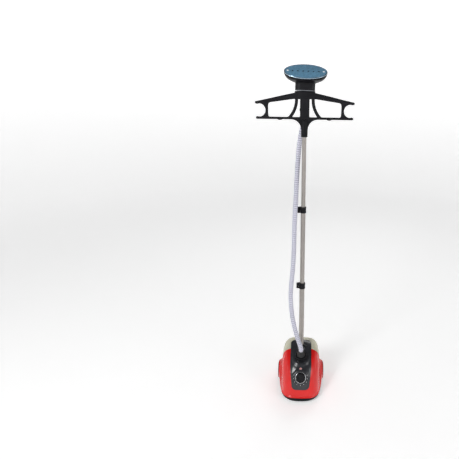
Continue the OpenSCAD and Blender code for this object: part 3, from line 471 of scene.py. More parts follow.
def make_hose():
    path = spline(HOSE_ROUTE, 0.0018)
    length = along(path)
    sides = 48
    angle = np.linspace(0, 2 * math.pi, sides, endpoint=False)
    turn = angle[None, :] * STRANDS / (2 * math.pi)
    lay = length[:, None] / WEAVE_LAY
    weave = np.abs(np.sin(math.pi * (turn + lay))) + np.abs(np.sin(math.pi * (turn - lay)))
    radius = HOSE_R - WEAVE + WEAVE * weave / 2
    obj = grid_object("hose", tube_points(path, radius, sides), closed=True)
    uv = obj.data.uv_layers.new(name="around")
    rows = np.zeros(len(obj.data.loops), int)
    obj.data.loops.foreach_get("vertex_index", rows)
    u = (rows % sides) / sides
    v = length[rows // sides] / REPEAT
    # The face row that closes the ring runs from the last column on to 1.
    for face in obj.data.polygons:
        span = list(face.loop_indices)
        if max(u[span]) - min(u[span]) > 0.5:
            u[span] = np.where(u[span] < 0.5, u[span] + 1, u[span])
    uv.data.foreach_set("uv", np.column_stack([u, v]).ravel())
    put(obj, "base", "braid", "steam_hose", finish=braid_material())
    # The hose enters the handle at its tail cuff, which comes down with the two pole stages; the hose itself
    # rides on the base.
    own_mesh(obj)


make_hose()

# ---- floor and light --------------------------------------------------------------------------------


def make_stage():
    """A pale floor that curves up into a round backdrop, under three soft lights and a pale sky."""
    flat, bend, wall_top = 5000, 2000, 3600
    profile = [(0.01, 0.0), (1500, 0.0), (3500, 0.0), (flat, 0.0)]
    turns = np.radians(np.arange(5, 91, 5))
    profile += [(flat + bend * math.sin(a), bend - bend * math.cos(a)) for a in turns]
    profile += [(flat + bend, wall_top)]
    around = np.linspace(0, 2 * math.pi, 96, endpoint=False)
    rings = np.array([[[r * math.cos(a), r * math.sin(a), z] for a in around] for r, z in profile]) * MM
    floor = grid_object("floor", rings, closed=True)
    material = finish_material("floor", (0.95, 0.95, 0.95), 0.8, grain=60, depth=0.00002, spread=0.01,
                               sockets=[("Emission Color", (1, 1, 1, 1)), ("Emission Strength", 0.34)])
    floor.data.materials.append(material)
    world = bpy.data.worlds.new("sky")
    bpy.context.scene.world = world
    world.use_nodes = True
    # The sky is pale near the horizon and dim overhead, so that tops show their own colour.
    nodes, links = world.node_tree.nodes, world.node_tree.links
    place, split, fade = (nodes.new("ShaderNode" + kind) for kind in ("TexCoord", "SeparateXYZ", "MapRange"))
    for socket, value in (("From Min", 0.25), ("From Max", 0.70), ("To Min", 0.92), ("To Max", 0.08)):
        fade.inputs[socket].default_value = value
    links.new(place.outputs["Generated"], split.inputs["Vector"])
    links.new(split.outputs["Z"], fade.inputs["Value"])
    nodes["Background"].inputs["Color"].default_value = (1, 1, 1, 1)
    links.new(fade.outputs["Result"], nodes["Background"].inputs["Strength"])
    lights = (
        ("key", (-1.8, -2.2, 2.6), (0.8, 1.2), 46),
        ("fill", (2.4, -1.6, 1.8), (1.0, 1.4), 12),
        ("back", (0.6, 2.4, 2.8), (1.6, 0.8), 16),
    )
    for name, place, size, watts in lights:
        data = bpy.data.lights.new(name, "AREA")
        data.shape = "RECTANGLE"
        data.size, data.size_y = size
        data.energy = watts
        lamp = bpy.data.objects.new(name, data)
        aim = Vector((0, 0, 0.7)) - Vector(place)
        lamp.rotation_euler = aim.to_track_quat("-Z", "Y").to_euler()
        lamp.location = place
        bpy.context.scene.collection.objects.link(lamp)


make_stage()

# ---- the smooth outer form of the base --------------------------------------------------------------

HALF_W, BOTTOM, TOP = 0.102, 0.024, 0.225
NOSE_Y, TAIL_Y, CROWN_Y = -0.119, 0.122, 0.078
MID_BASE_Y = 0.008
WHEEL_R, WHEEL_Y, WHEEL_FACE = 0.042, 0.073, 0.121
STRIP_HALF, SHELF_Z, SEAM_Y, BELL = 0.053, 0.102, 0.027, 0.031
STRIP_FOOT_R, STRIP_FOOT_X, STRIP_FOOT_Z, STRIP_SHOULDER_Z = 0.020, 0.024, 0.092, 0.165
POLE_Y = 0.027
GAP = 0.0004
CREST_Z = 0.2165                        # above the corner where shell, strip and tank meet
SKIRT, FENDER_FLARE, SCOOP = 0.0022, 0.0085, 0.0042
SHOULDER_Z = [0.04, 0.085, 0.122, 0.145, 0.174, 0.206]
SHOULDER_Y = [-0.075, -0.061, -0.032, -0.012, -0.004, 0.0]


def half_width(t):
    return (HALF_W - 0.008 * t) * (1 - t ** 8) ** (1 / 2.6)


def front_edge(t):
    return CROWN_Y - (CROWN_Y - NOSE_Y) * (1 - t ** 2.8) ** (1 / 1.5)


def rear_edge(t):
    return CROWN_Y + (TAIL_Y - CROWN_Y) * (1 - t ** 24) ** (1 / 2.5)


def middle_y(t):
    return MID_BASE_Y + (CROWN_Y - MID_BASE_Y) * t ** 3


def front_power(t):
    """Plan exponent of the nose, which grows rounder towards the top."""
    return 3.2 - 1.5 * t


REAR_POWER = 6.0


def plan(front, t):
    """Plan exponent and reach from the middle, ahead of it where front is true and behind it elsewhere."""
    power = np.where(front, front_power(t), REAR_POWER)
    return power, np.where(front, middle_y(t) - front_edge(t), rear_edge(t) - middle_y(t))


def share_of(z):
    """Share of the form's height, from foot to crown."""
    return (z - BOTTOM) / (TOP - BOTTOM)


def form_point(angle, t):
    """The form's surface. angle starts at the right, with the rear at 90 degrees. t runs from foot to crown."""
    power, reach = plan(np.sin(angle) < 0, t)
    c, s = np.cos(angle), np.sin(angle)
    x = half_width(t) * np.sign(c) * np.abs(c) ** (2 / power)
    y = middle_y(t) + reach * np.sign(s) * np.abs(s) ** (2 / power)
    return np.stack([x, y, BOTTOM + (TOP - BOTTOM) * t + 0 * x], axis=-1)


def outside(p):
    """Above 0 where a point lies outside the form."""
    t = np.clip(share_of(p[..., 2]), 0, 1 - 1e-9)
    power, reach = plan(p[..., 1] < middle_y(t), t)
    across, ahead = np.abs(p[..., 0]) / half_width(t), np.abs(p[..., 1] - middle_y(t)) / reach
    value = across ** power + ahead ** power - 1
    return np.where(p[..., 2] >= TOP, 1.0, value)


def halved(low, high, beyond, rounds=40):
    """Narrows each span from low to high to where beyond(value) turns true."""
    for _ in range(rounds):
        mid = (low + high) / 2
        past = beyond(mid)
        low, high = np.where(past, low, mid), np.where(past, mid, high)
    return low, high


def cast(origin, direction, far=0.4):
    """Where rays from inside the form leave it."""
    origin, direction = np.broadcast_arrays(origin, direction)
    near, far = np.zeros(origin.shape[:-1]), np.full(origin.shape[:-1], far)
    near, far = halved(near, far, lambda reach: outside(origin + reach[..., None] * direction) > 0, 46)
    return origin + near[..., None] * direction


def strip_half(z):
    """Half width of the dark control strip at height z."""
    low = STRIP_FOOT_X + np.sqrt(np.clip(STRIP_FOOT_R ** 2 - (STRIP_FOOT_Z - z) ** 2, 0, None))
    foot_half = STRIP_FOOT_X + STRIP_FOOT_R
    taper = foot_half + (STRIP_HALF - foot_half) * (z - STRIP_FOOT_Z) / (STRIP_SHOULDER_Z - STRIP_FOOT_Z)
    return np.where(z < STRIP_FOOT_Z, low, np.where(z < STRIP_SHOULDER_Z, taper, STRIP_HALF))


def seam_y(x):
    """Plan curve between the body and the tank, with a bell behind the pole."""
    bell = BELL * (0.5 + 0.5 * np.cos(math.pi * np.clip(x / STRIP_HALF, -1, 1)))
    return SEAM_Y + bell


def crease_height(y):
    """Height of the crease that sweeps down from the fender to the lip over the tray."""
    return 0.0315 + 0.050 * np.clip((y + 0.065) / 0.105, 0, 1) ** 2.0


def shell_detail(p):
    """Moves points of the red shell: a flared skirt below the crease, and a scoop behind the shoulder."""
    out = np.array(p)
    x, y, z = p[..., 0], p[..., 1], p[..., 2]
    ahead = np.where(y < MID_BASE_Y, (y - MID_BASE_Y) / (MID_BASE_Y - NOSE_Y), 0)
    flat = np.stack([np.sign(x) * (np.abs(x) / HALF_W) ** 1.5, ahead, 0 * x], axis=-1)
    flat[..., 1] = -np.abs(flat[..., 1]) ** 1.5
    outward = unit(flat + 1e-9)
    crease = crease_height(y)
    flare = SKIRT + FENDER_FLARE * smooth((y + 0.065) / 0.100)
    flare = flare * (1 - smooth((y - 0.085) / 0.020))
    width = 0.003 + 0.005 * smooth((y + 0.065) / 0.080)
    skirt = flare * smooth((crease - z) / width + 0.5)
    shoulder = np.interp(z, SHOULDER_Z, SHOULDER_Y)
    scoop = SCOOP * smooth((y - shoulder) / 0.014) * (1 - smooth((y - 0.016) / 0.012))
    scoop = scoop * smooth((z - crease - 0.004) / 0.02) * (1 - smooth((z - 0.165) / 0.03))
    scoop = scoop * smooth((np.abs(x) - 0.05) / 0.03)
    return out + outward * (skirt - scoop)[..., None]


def make_shell():
    """The red shell: columns round the base, each from the foot up to the strip, the seam or the shelf."""
    def angle_at_x(x, t):
        c = np.clip(np.abs(x) / half_width(t), 0, 1) ** (front_power(t) / 2)
        return math.pi + np.arccos(c)

    def angle_at_y(y, t):
        ahead = y < middle_y(t)
        power, reach = plan(ahead, t)
        s = np.arcsin(np.clip(np.abs(y - middle_y(t)) / reach, 0, 1) ** (power / 2))
        return math.pi + np.where(ahead, s, -s)

    shelf_t = share_of(SHELF_Z - GAP)
    start = float(angle_at_y(SEAM_Y, shelf_t))
    # The left half of the upper edge, from the middle of the rear to the middle of the front.
    edge = [(a, shelf_t) for a in np.linspace(math.pi / 2, start, 240)]

    def meets_strip(t):
        corner = form_point(np.array(float(angle_at_y(SEAM_Y, t))), t)
        return abs(corner[0]) <= STRIP_HALF + GAP

    low, _ = halved(shelf_t, share_of(CREST_Z), meets_strip)
    edge += [(float(angle_at_y(SEAM_Y, t)), t) for t in np.linspace(shelf_t, low, 160)[1:]]
    for z in np.linspace(BOTTOM + (TOP - BOTTOM) * low, STRIP_FOOT_Z, 160)[1:]:
        edge.append((float(angle_at_x(float(strip_half(z)) + GAP, share_of(z))), share_of(z)))
    for turn in np.radians(np.linspace(0, 90, 40)[1:]):
        x = STRIP_FOOT_X + (STRIP_FOOT_R + GAP) * math.cos(turn)
        z = STRIP_FOOT_Z - (STRIP_FOOT_R + GAP) * math.sin(turn)
        edge.append((float(angle_at_x(x, share_of(z))), share_of(z)))
    strip_foot = share_of(STRIP_FOOT_Z - STRIP_FOOT_R - GAP)
    for x in np.linspace(STRIP_FOOT_X, 0, 20)[1:]:
        edge.append((float(angle_at_x(x, strip_foot)), strip_foot))
    edge = np.array(edge)
    edge[:, 0] = np.maximum.accumulate(edge[:, 0])
    place = form_point(edge[:, 0], edge[:, 1])
    run = along(place)
    wanted = np.linspace(0, run[-1], 230)
    angle, t_top = np.interp(wanted, run, edge[:, 0]), np.interp(wanted, run, edge[:, 1])
    rows = np.concatenate([[0, 0.0015, 0.004], 0.010 + 0.990 * np.linspace(0, 1, 96) ** 1.35])[:, None]
    left = form_point(np.broadcast_to(angle, (len(rows), len(angle))), rows * t_top)
    right = left[:, ::-1] * np.array([-1, 1, 1])
    points = shell_detail(np.concatenate([left, right[:, 1:-1]], axis=1))
    # The shell is drawn in behind each wheel.
    reach = np.hypot(points[..., 1] - WHEEL_Y, points[..., 2] - WHEEL_R)
    sunk = smooth((WHEEL_R + 0.0035 - reach) / 0.003) * (np.abs(points[..., 0]) > 0.07)
    inner = np.sign(points[..., 0]) * np.minimum(np.abs(points[..., 0]), 0.0945)
    points[..., 0] += (inner - points[..., 0]) * sunk
    shell = thickened(grid_object("shell", points, closed=True), 0.0022, 0.0007)
    put(shell, "base", "red_shell", "body_shell")


def side_x(y, z):
    """Half width of the detailed red shell at a point of its side."""
    t = share_of(z)
    power, reach = plan(y < middle_y(t), t)
    share = np.clip(np.abs(y - middle_y(t)) / reach, 0, 1)
    x = half_width(t) * (1 - share ** power) ** (1 / power)
    return shell_detail(np.stack([x, y, z], axis=-1))[..., 0]


def make_fenders():
    """An arch over each wheel that runs out into the side of the shell."""
    arch, lip_x, lip_r, rear_turn, root_turn = 0.0478, 0.1175, 0.0012, math.radians(-23), math.radians(18)
    turns = np.linspace(rear_turn, math.radians(203), 120)
    spread = 0.0015 + 0.0165 * smooth((turns - root_turn) / math.radians(60))
    rise = np.sin(turns)
    ceiling = np.where(rise > 0.5, (SHELF_Z - 0.0015 - WHEEL_R) / np.maximum(rise, 0.5) - arch, 1)
    spread = np.minimum(spread, ceiling)
    rows = []
    for s in np.linspace(0, 1, 16):
        # From the shell's side, up a hollow curve to the rounded lip.
        radius = arch + lip_r + spread * (1 - s) ** 1.6
        y, z = WHEEL_Y + radius * np.cos(turns), WHEEL_R + radius * np.sin(turns)
        base = np.maximum(side_x(y, np.clip(z, BOTTOM + 0.0005, None)), 0.080) - lip_r
        base = np.where(turns < root_turn, np.minimum(base, 0.090), base)
        rows.append((base + (lip_x - lip_r - base) * s ** 0.85, radius))
    for k in np.radians([30, 60, 90, 120, 150, 180]):
        rows.append((lip_x - lip_r + lip_r * math.sin(k) + 0 * turns, arch + lip_r * math.cos(k) + 0 * turns))
    rows.append((0.094 + 0 * turns, arch - lip_r + 0 * turns))
    for side, name in ((-1, "fender_left"), (1, "fender_right")):
        points = np.array([
            np.stack([side * x, WHEEL_Y + r * np.cos(turns), WHEEL_R + r * np.sin(turns)], axis=-1)
            for x, r in rows
        ])
        points[..., 2] = np.maximum(points[..., 2], BOTTOM)
        put(grid_object(name, points), "base", "red_shell")


def towards_plane(points, origin, normal, inner, outer, height):
    """Draws points near an axis on to a plane across it, fading out between two radii."""
    rel = points - origin
    level = rel @ normal
    radius = np.linalg.norm(rel - level[..., None] * normal, axis=-1)
    weight = smooth((outer - radius) / (outer - inner))
    return points + normal * ((height - level) * weight)[..., None]


DIAL_LEAN = math.radians(32)
DIAL_AXIS = np.array([0.0, -math.cos(DIAL_LEAN), math.sin(DIAL_LEAN)])
DIAL_Z = 0.130
DIAL = np.array([0.0, front_edge(share_of(DIAL_Z)), DIAL_Z])
BEND_Z = 0.150
FAN_Y = 0.050


def panel_detail(points):
    """The strip's flat round the dial and the raised boss round the hose connector."""
    points = towards_plane(points, DIAL, DIAL_AXIS, 0.030, 0.044, 0.0)
    points = towards_plane(points, PORT, PORT_AXIS, 0.0315, 0.050, -0.0004)
    level = (points - PORT) @ PORT_AXIS
    radius = np.linalg.norm(points - PORT - level[..., None] * PORT_AXIS, axis=-1)
    points = points - PORT_AXIS * (0.004 * smooth((0.0295 - radius) / 0.003))[..., None]
    reach = np.hypot(points[..., 0], points[..., 1] - POLE_Y)
    dip = 0.004 * smooth((0.0215 - reach) / 0.002)
    rise = 0.0012 * smooth((0.034 - reach) / 0.011)
    points[..., 2] += rise - dip
    return points


def make_panel():
    """The dark strip: level rows up the front, then a fan of rows over the top to the tank's seam."""
    u = np.linspace(-1, 1, 97)
    turn = np.radians(np.linspace(0, 90, 16))
    heights = np.concatenate([STRIP_FOOT_Z - STRIP_FOOT_R * np.cos(turn),
                              np.linspace(STRIP_FOOT_Z, BEND_Z, 44)[1:]])
    rows = []
    for z in heights:
        x = u * float(strip_half(np.array(z)))
        start = np.stack([x, 0 * x + FAN_Y, 0 * x + z], axis=-1)
        rows.append(cast(start, np.array([0.0, -1.0, 0.0])))
    half = np.full_like(u, float(strip_half(np.array(BEND_Z))))

    def fan(angle, half):
        x = u * half
        start = np.stack([x, 0 * x + FAN_Y, 0 * x + BEND_Z], axis=-1)
        direction = np.stack([0 * x, -np.cos(angle), np.sin(angle)], axis=-1)
        return cast(start, direction)

    def behind_seam(angle):
        p = fan(angle, STRIP_HALF)
        return p[:, 1] > seam_y(p[:, 0])

    low, _ = halved(np.zeros_like(u), np.full_like(u, math.radians(120)), behind_seam, 30)
    for share in np.linspace(0, 1, 90)[1:]:
        p = fan(low * share, half)
        for _ in range(3):
            half = np.abs(strip_half(p[:, 2]))
            p = fan(low * share, half)
        rows.append(p)
    panel = thickened(grid_object("panel", panel_detail(np.array(rows))), 0.0022, 0.0006)
    put(panel, "base", "graphite", "control_panel")


def make_tank():
    """The water tank: an outer skin over the rear, a front wall round the pole and a flat floor."""
    top = np.array([0.0, 0.060, SHELF_Z])
    spans = ((-180, -100, 60), (-100, -62, 70), (-62, 62, 90), (62, 100, 70), (100, 180, 60))
    around = np.radians(np.concatenate([np.linspace(a, b, n)[:-1] for a, b, n in spans]))

    def point(rise):
        flat = np.cos(rise)
        direction = np.stack([flat * np.sin(around), flat * np.cos(around), np.sin(rise)], axis=-1)
        return cast(top, direction)

    def ahead(rise):
        p = point(rise)
        return p[:, 1] < seam_y(p[:, 0]) + GAP

    _, high = halved(np.zeros_like(around), np.full_like(around, math.pi / 2), lambda rise: ~ahead(rise))
    start = np.where(ahead(0 * around), high, 0.0)
    rows = [point(start + (math.pi / 2 - start) * s) for s in np.linspace(0, 0.985, 70)]
    points = np.array(rows)
    lowered = smooth((STRIP_HALF + 0.0006 - np.abs(points[..., 0])) / 0.0004)
    lowered = lowered * (points[..., 2] > 0.195) * smooth((0.0806 - points[..., 1]) / 0.0004)
    points[..., 2] -= 0.0016 * lowered
    n = len(around)
    faces = grid_faces(len(rows), n, closed=True)
    cloud = list(points.reshape(-1, 3))
    faces.append([(len(rows) - 1) * n + i for i in range(n)])
    # The front wall hangs straight down from the seam. The floor closes the foot.
    steps = 12
    hung = start > 1e-6
    index = [[i] for i in range(n)]
    for i in range(n):
        if hung[i]:
            for k in range(1, steps + 1):
                x, y, z = points[0, i]
                index[i].append(len(cloud))
                cloud.append(np.array([x, y, z + (SHELF_Z - z) * k / steps]))
    for i in range(n):
        a, b = index[i], index[(i + 1) % n]
        if len(a) > 1 and len(b) > 1:
            faces += [(b[k], a[k], a[k + 1], b[k + 1]) for k in range(steps)]
        elif len(a) > 1 or len(b) > 1:
            long, other = (a, b[0]) if len(a) > 1 else (b, a[0])
            faces += [(long[k], long[k + 1], other) for k in range(steps)]
    faces.append([chain[-1] for chain in index])
    tank = bevelled(mesh_object("tank", cloud, faces), 0.0012, 3, angle=45)
    put(tank, "tank", "tank_plastic", "water_tank")


def make_cover():
    """The dark cap on top of the tank, with rounded rear corners."""
    back, corner = 0.080, 0.020
    u = np.linspace(-1, 1, 81)
    x = STRIP_HALF * np.sign(u) * (1 - (1 - np.abs(u)) ** 1.3)
    over = np.clip(np.abs(x) - (STRIP_HALF - corner), 0, corner)
    far = back - corner + np.sqrt(np.clip(corner ** 2 - over ** 2, 0, None))
    near = seam_y(x) + GAP
    rows = []
    for v in np.linspace(0, 1, 40):
        y = near + (far - near) * v
        start = np.stack([x, y, 0 * x + SHELF_Z], axis=-1)
        rows.append(cast(start, np.array([0.0, 0.0, 1.0])) + np.array([0, 0, 0.0004]))
    cover = thickened(grid_object("tank_lid", np.array(rows)), 0.0035, 0.0007)
    put(cover, "tank", "graphite", "tank_cover")


def tray_outline(inset):
    """Plan of the tray, anticlockwise from the right."""
    half, bend, rear_half, front, rear = (d - inset for d in (0.104, 0.026, 0.088, 0.129, 0.118))
    angle = np.radians(np.linspace(0, 180, 91))
    power = 2 / 2.7
    c, s = np.cos(angle), np.sin(angle)
    front_arc = np.column_stack([half * np.sign(c) * np.abs(c) ** power, 0.004 - front * np.abs(s) ** power])
    corner = 0.014
    loop = [(-half, 0.004), (-half, bend), (-rear_half, bend), (-rear_half, rear - corner),
            (-rear_half + corner, rear), (rear_half - corner, rear), (rear_half, rear - corner),
            (rear_half, bend), (half, bend), (half, 0.004)]
    counts = (6, 4, 18, 5, 36, 5, 18, 4, 6)
    joined = []
    for a, b, n in zip(loop, loop[1:], counts):
        joined += [np.array(a) + (np.array(b) - np.array(a)) * k / n for k in range(1, n + 1)]
    return np.vstack([front_arc, np.array(joined[:-1])])


def make_tray():
    """The black tray: a rounded foot, a groove under the shell and a flat bottom."""
    profile = [(0.0075, 0.0080), (0.0040, 0.0082), (0.0018, 0.0092), (0.0006, 0.0110), (0.0, 0.0140),
               (0.0, 0.0222), (0.0004, 0.0230), (0.0016, 0.0232), (0.0018, 0.0250)]
    loops = [(tray_outline(inset), z) for inset, z in profile]
    points = np.array([np.column_stack([loop, np.full(len(loop), z)]) for loop, z in loops])
    tray = mesh_object("tray", points.reshape(-1, 3), ring_faces(*points.shape[:2]))
    put(tray, "base", "black_plastic", "base_tray")


make_shell()
make_fenders()
make_panel()
make_tank()
make_cover()
make_tray()

# ---- wheels -----------------------------------------------------------------------------------------

SLOTS = 5
UPRIGHT = (0.0, 0.0, 1.0)


def make_wheel(side, name):
    """A ribbed tyre round a slotted red disc, and a dark inner disc behind it. Level 0 is the outer face."""
    origin, axis = (side * WHEEL_FACE, WHEEL_Y, WHEEL_R), (side, 0.0, 0.0)
    radius, width, rim = WHEEL_R / MM, 22.0, 34.0
    ribs = []
    for k in range(3):
        h = -width + 5.6 + 5.4 * k
        ribs += [(radius, h - 0.9, 0), (radius - 0.9, h - 0.6, 0), (radius - 0.9, h + 0.6, 0),
                 (radius, h + 0.9, 0)]
    profile = rounded([(rim, -width), (radius - 3, -width, 1.5), (radius, -width + 3, 1.5)] + ribs
                      + [(radius, -3.2, 1.6), (radius - 1.4, -0.8, 1.2), (radius - 3.4, 0, 0.8),
                         (rim + 1.6, 0, 0.8), (rim, -1.4)])
    tyre = lathe("tyre_" + name, profile, origin, axis, 128, closed=True, soft_angle=30)
    put(tyre, "wheel_" + name, "tyre", "tyre_" + name)

    face = rounded([(0.01, -1.6), (7.4, -1.6, 0.8), (8.4, -2.9, 0.6), (11, -2.9, 1.0), (13, -2.5, 1.5),
                    (29, -1.3, 2),
                    (31.6, -0.9, 0.8), (32.6, -2.0, 0.6), (rim, -2.2, 0.3), (rim, -21), (rim - 2.6, -21),
                    (rim - 2.6, -5.4), (9, -5.4), (9, -width), (4.1, -width), (4.1, -8), (0.01, -8)])
    disc = lathe("rim_" + name, face, origin, axis, 128, soft_angle=30)
    cutters = []
    for k in range(SLOTS):
        turn = math.radians(360 * k / SLOTS + 20)
        across = (0.0, math.cos(turn), math.sin(turn))
        outline = arc(28.5, 0, 3.2, -90, 90, 10) + arc(18.5, 0, 2.6, 90, 270, 10)
        cutters.append(plate("slot", [outline], -7, 3, 0.01, axes_at(origin, across, axis)))
    combined(disc, cutters, "DIFFERENCE", soft_angle=30)
    put(disc, "wheel_" + name, "red_shell", "rim_" + name)
    backing = rounded([(9.6, -10.4), (30.6, -10.4), (30.6, -8.4, 0.6), (26, -7.6, 1), (14, -8.4, 1),
                       (9.6, -7.8, 0.6)])
    backing = lathe("wheel_backing_" + name, backing, origin, axis, 96, closed=True)
    put(backing, "wheel_" + name, "tyre", finish=BLACK)


make_wheel(-1, "left")
make_wheel(1, "right")

# ---- fittings on the strip --------------------------------------------------------------------------


def ribbed(count, depth, first, last, above, fill=0.35):
    """Shape function: count grooves of a depth in millimetres round a piece, between two heights."""
    def shape(r, h, angle):
        wave = smooth((np.cos(count * angle) + fill) / 0.5)
        inside = smooth((h / MM - first) / 0.8) * smooth((last - h / MM) / 0.8) * (r > above * MM)
        return r - depth * MM * (1 - wave) * inside
    return shape


def levels(radius, first, last, steps):
    """Profile points up a straight wall, so that its ribs can start and stop."""
    return [(radius, first + (last - first) * k / steps, 0) for k in range(steps + 1)]


def make_port():
    flange = rounded([(9, -6), (29.4, -6), (29.4, -1, 1.2), (26.4, 1.4, 1.5), (24, 1.5, 0.6), (23, 0.6, 0.5),
                      (15, 0.6), (15, 18), (9, 18)])
    put(lathe("connector", flange, PORT, PORT_AXIS, 128, closed=True), "base", "black_gloss",
        "hose_connector")
    wall = rounded([(22.1, 2), (25.2, 2, 0.8), (26.0, 3.0, 0.6)] + levels(27, 4, 25.4, 28)
                   + [(27, 26.4, 0.8), (25.6, 28.9, 1.2), (22.4, 29, 0.8), (20.6, 27.6, 0.8), (17.2, 27.6),
                      (17.2, 24), (22.1, 24)])
    nut = lathe("hose_nut", wall, PORT, PORT_AXIS, 384, closed=True, shape=ribbed(24, 1.5, 4.6, 24.8, 25.5),
                soft_angle=50)
    put(nut, "nut", "black_gloss", "hose_nut")
    profile = [(9, 18), (21.9, 18), (21.9, 23.8), (17, 23.8), (17, 30, 0.6)]
    for k in range(5):
        s = 30 + 8.4 * k
        profile += [(20 - 1.35 * k, s, 1.0), (19.4 - 1.35 * k, s + 5.4, 1.4), (17.0 - 1.2 * k, s + 6.0, 0.8),
                    (16.6 - 1.2 * k, s + 8.4, 0.6)]
    profile += [(9, 72)]
    put(lathe("hose_cuff", rounded(profile), PORT, PORT_AXIS, 96, closed=True), "base", "rubber", "hose_cuff")


def make_pole_foot():
    """The socket that the pole stands in, and the ring with a lug that locks it."""
    at = (0.0, POLE_Y, 0.2125)
    socket = rounded([(12.5, -5), (21.9, -5), (21.9, 0.4, 1), (20.8, 3.4, 1.5), (19.6, 8.2, 1.5),
                      (18.4, 10, 0.9), (12.5, 10)])
    put(lathe("pole_socket", socket, at, UPRIGHT, 96, closed=True), "base", "graphite", "pole_socket")
    at = (0.0, POLE_Y, 0.2228)
    wall = rounded([(12.6, 0), (16.2, 0, 0.8)] + levels(16.5, 1.5, 13.4, 14)
                   + [(16.5, 14.2, 0.6), (15.4, 15, 0.7), (12.6, 15)])
    ring = lathe("lock_ring", wall, at, UPRIGHT, 192, closed=True, shape=ribbed(12, 1.1, 7.6, 13.2, 14, 0.6),
                 soft_angle=50)
    outline = rounded([(14, -5), (24, -5, 3), (24, 5, 3), (14, 5)], closed=True)
    lug = plate("lug", [outline], 2, 9, 1.0, Matrix.Translation(at))
    put(combined(ring, [lug], soft_angle=50), "lock_ring", "black_gloss", "pole_lock_ring")


def on_panel(x, up, lift):
    """Points over the strip near the dial, from their offsets across and up its face, raised by lift."""
    tall = np.array([0.0, DIAL_AXIS[2], -DIAL_AXIS[1]])
    flat = DIAL + np.asarray(x)[..., None] * np.array([1.0, 0, 0]) + np.asarray(up)[..., None] * tall
    return panel_detail(cast(flat - 0.03 * DIAL_AXIS, DIAL_AXIS)) + lift * DIAL_AXIS


def make_dial():
    side = rounded([(0.01, 1.4), (23.4, 1.4, 0.4)] + levels(24, 2, 10.4, 12)
                   + [(23.0, 12.4, 1.4), (20.6, 14.1, 1.4), (18.6, 14.4, 0.8), (17.4, 13.5, 0.8),
                      (16.6, 13.5), (6, 13.5), (0.01, 13.5)])
    knob = lathe("dial_knob", side, DIAL, DIAL_AXIS, 288, shape=ribbed(18, 1.3, 3.0, 12.6, 20, 0.5),
                 soft_angle=50)
    bar = rounded([(-16, -1.6, 1.6), (16, -1.6, 1.6), (16, 1.6, 1.6), (-16, 1.6, 1.6)], closed=True)
    tilt = math.radians(118)
    across = (math.cos(tilt), 0.0, math.sin(tilt))
    grip = plate("grip", [bar], 12.5, 14.7, 0.7, axes_at(DIAL, across, DIAL_AXIS))
    put(combined(knob, [grip], soft_angle=50), "dial", "black_gloss", "dial_knob")
    ring = rounded([(24.9, 0.4), (24.9, 1.6, 0.4), (25.6, 2.2, 0.4), (26.6, 1.6, 0.5), (27, -0.4, 0.5),
                    (27, -5), (6, -5), (6, 0.4)])
    put(lathe("dial_ring", ring, DIAL, DIAL_AXIS, 128, closed=True), "base", "silver", "dial_bezel")
    # Short printed ticks round the lower half of the dial.
    near, far, half = 0.0325, 0.0365, 0.0007
    corners = ((near, -half), (near, half), (far, half), (far, -half))
    sides = ((4, 5, 6, 7), (3, 2, 1, 0), (0, 1, 5, 4), (1, 2, 6, 5), (2, 3, 7, 6), (3, 0, 4, 7))
    points, faces = [], []
    for k in range(9):
        turn = math.radians(160 + 27.5 * k)
        out = np.array([math.cos(turn), math.sin(turn)])
        across = np.array([-math.sin(turn), math.cos(turn)])
        flat = np.array([out * r + across * w for r, w in corners])
        base = len(points)
        for lift in (-0.0002, 0.00025):
            points += list(on_panel(flat[:, 0], flat[:, 1], lift))
        faces += [[base + i for i in quad] for quad in sides]
    put(mesh_object("dial_ticks", points, faces), "base", "silver", finish=MARK)


LAMP_Z, LAMP_LEAN = 0.161, math.radians(48)


def make_lamp():
    axis = np.array([0.0, -math.sin(LAMP_LEAN), math.cos(LAMP_LEAN)])
    dome = rounded([(0.01, -8), (5.2, -8), (5.2, 0.4), (6.9, 0.4), (6.6, 1.4, 0.6), (5.2, 1.7, 0.5),
                    (4.6, 1.3, 0.5), (4.2, 1.6, 0.5), (2.4, 2.1, 1.0), (0.01, 2.2)])
    at = (0.0, front_edge(share_of(LAMP_Z)), LAMP_Z)
    put(lathe("lamp_lens", dome, at, axis, 64), "base", "lamp", "indicator_lamp")


def make_small_base_parts():
    for name, place in (("foot_left", (-0.058, -0.078, 0.0)), ("foot_right", (0.058, -0.078, 0.0))):
        foot = rounded([(0.01, 0), (9, 0, 0.7), (9, 2, 0.5), (8, 8), (0.01, 8)])
        foot = lathe(name, foot, place, UPRIGHT, 64)
        put(foot, "base", "rubber", *(["front_feet"] if name == "foot_left" else []))
    gland = rounded([(0.01, 104), (7.5, 104, 0.5), (7.5, 121.8), (11, 122.2, 0.4), (10.6, 123.6, 0.5),
                     (9.4, 125, 0.6), (3.8, 125, 0.8), (3.8, 122.4), (0.01, 122.4)])
    put(lathe("cord_gland", gland, (0.0, 0.0, 0.058), (0.0, 1.0, 0.0), 64), "base", "black_plastic",
        "cord_gland")


make_port()
make_pole_foot()
make_dial()
make_lamp()
make_small_base_parts()

# ---- pole clamps ------------------------------------------------------------------------------------

EAR_R, EAR_H, CLAMP_H, CLAMP_T = 5.5, 5.3, 28.0, 3.0


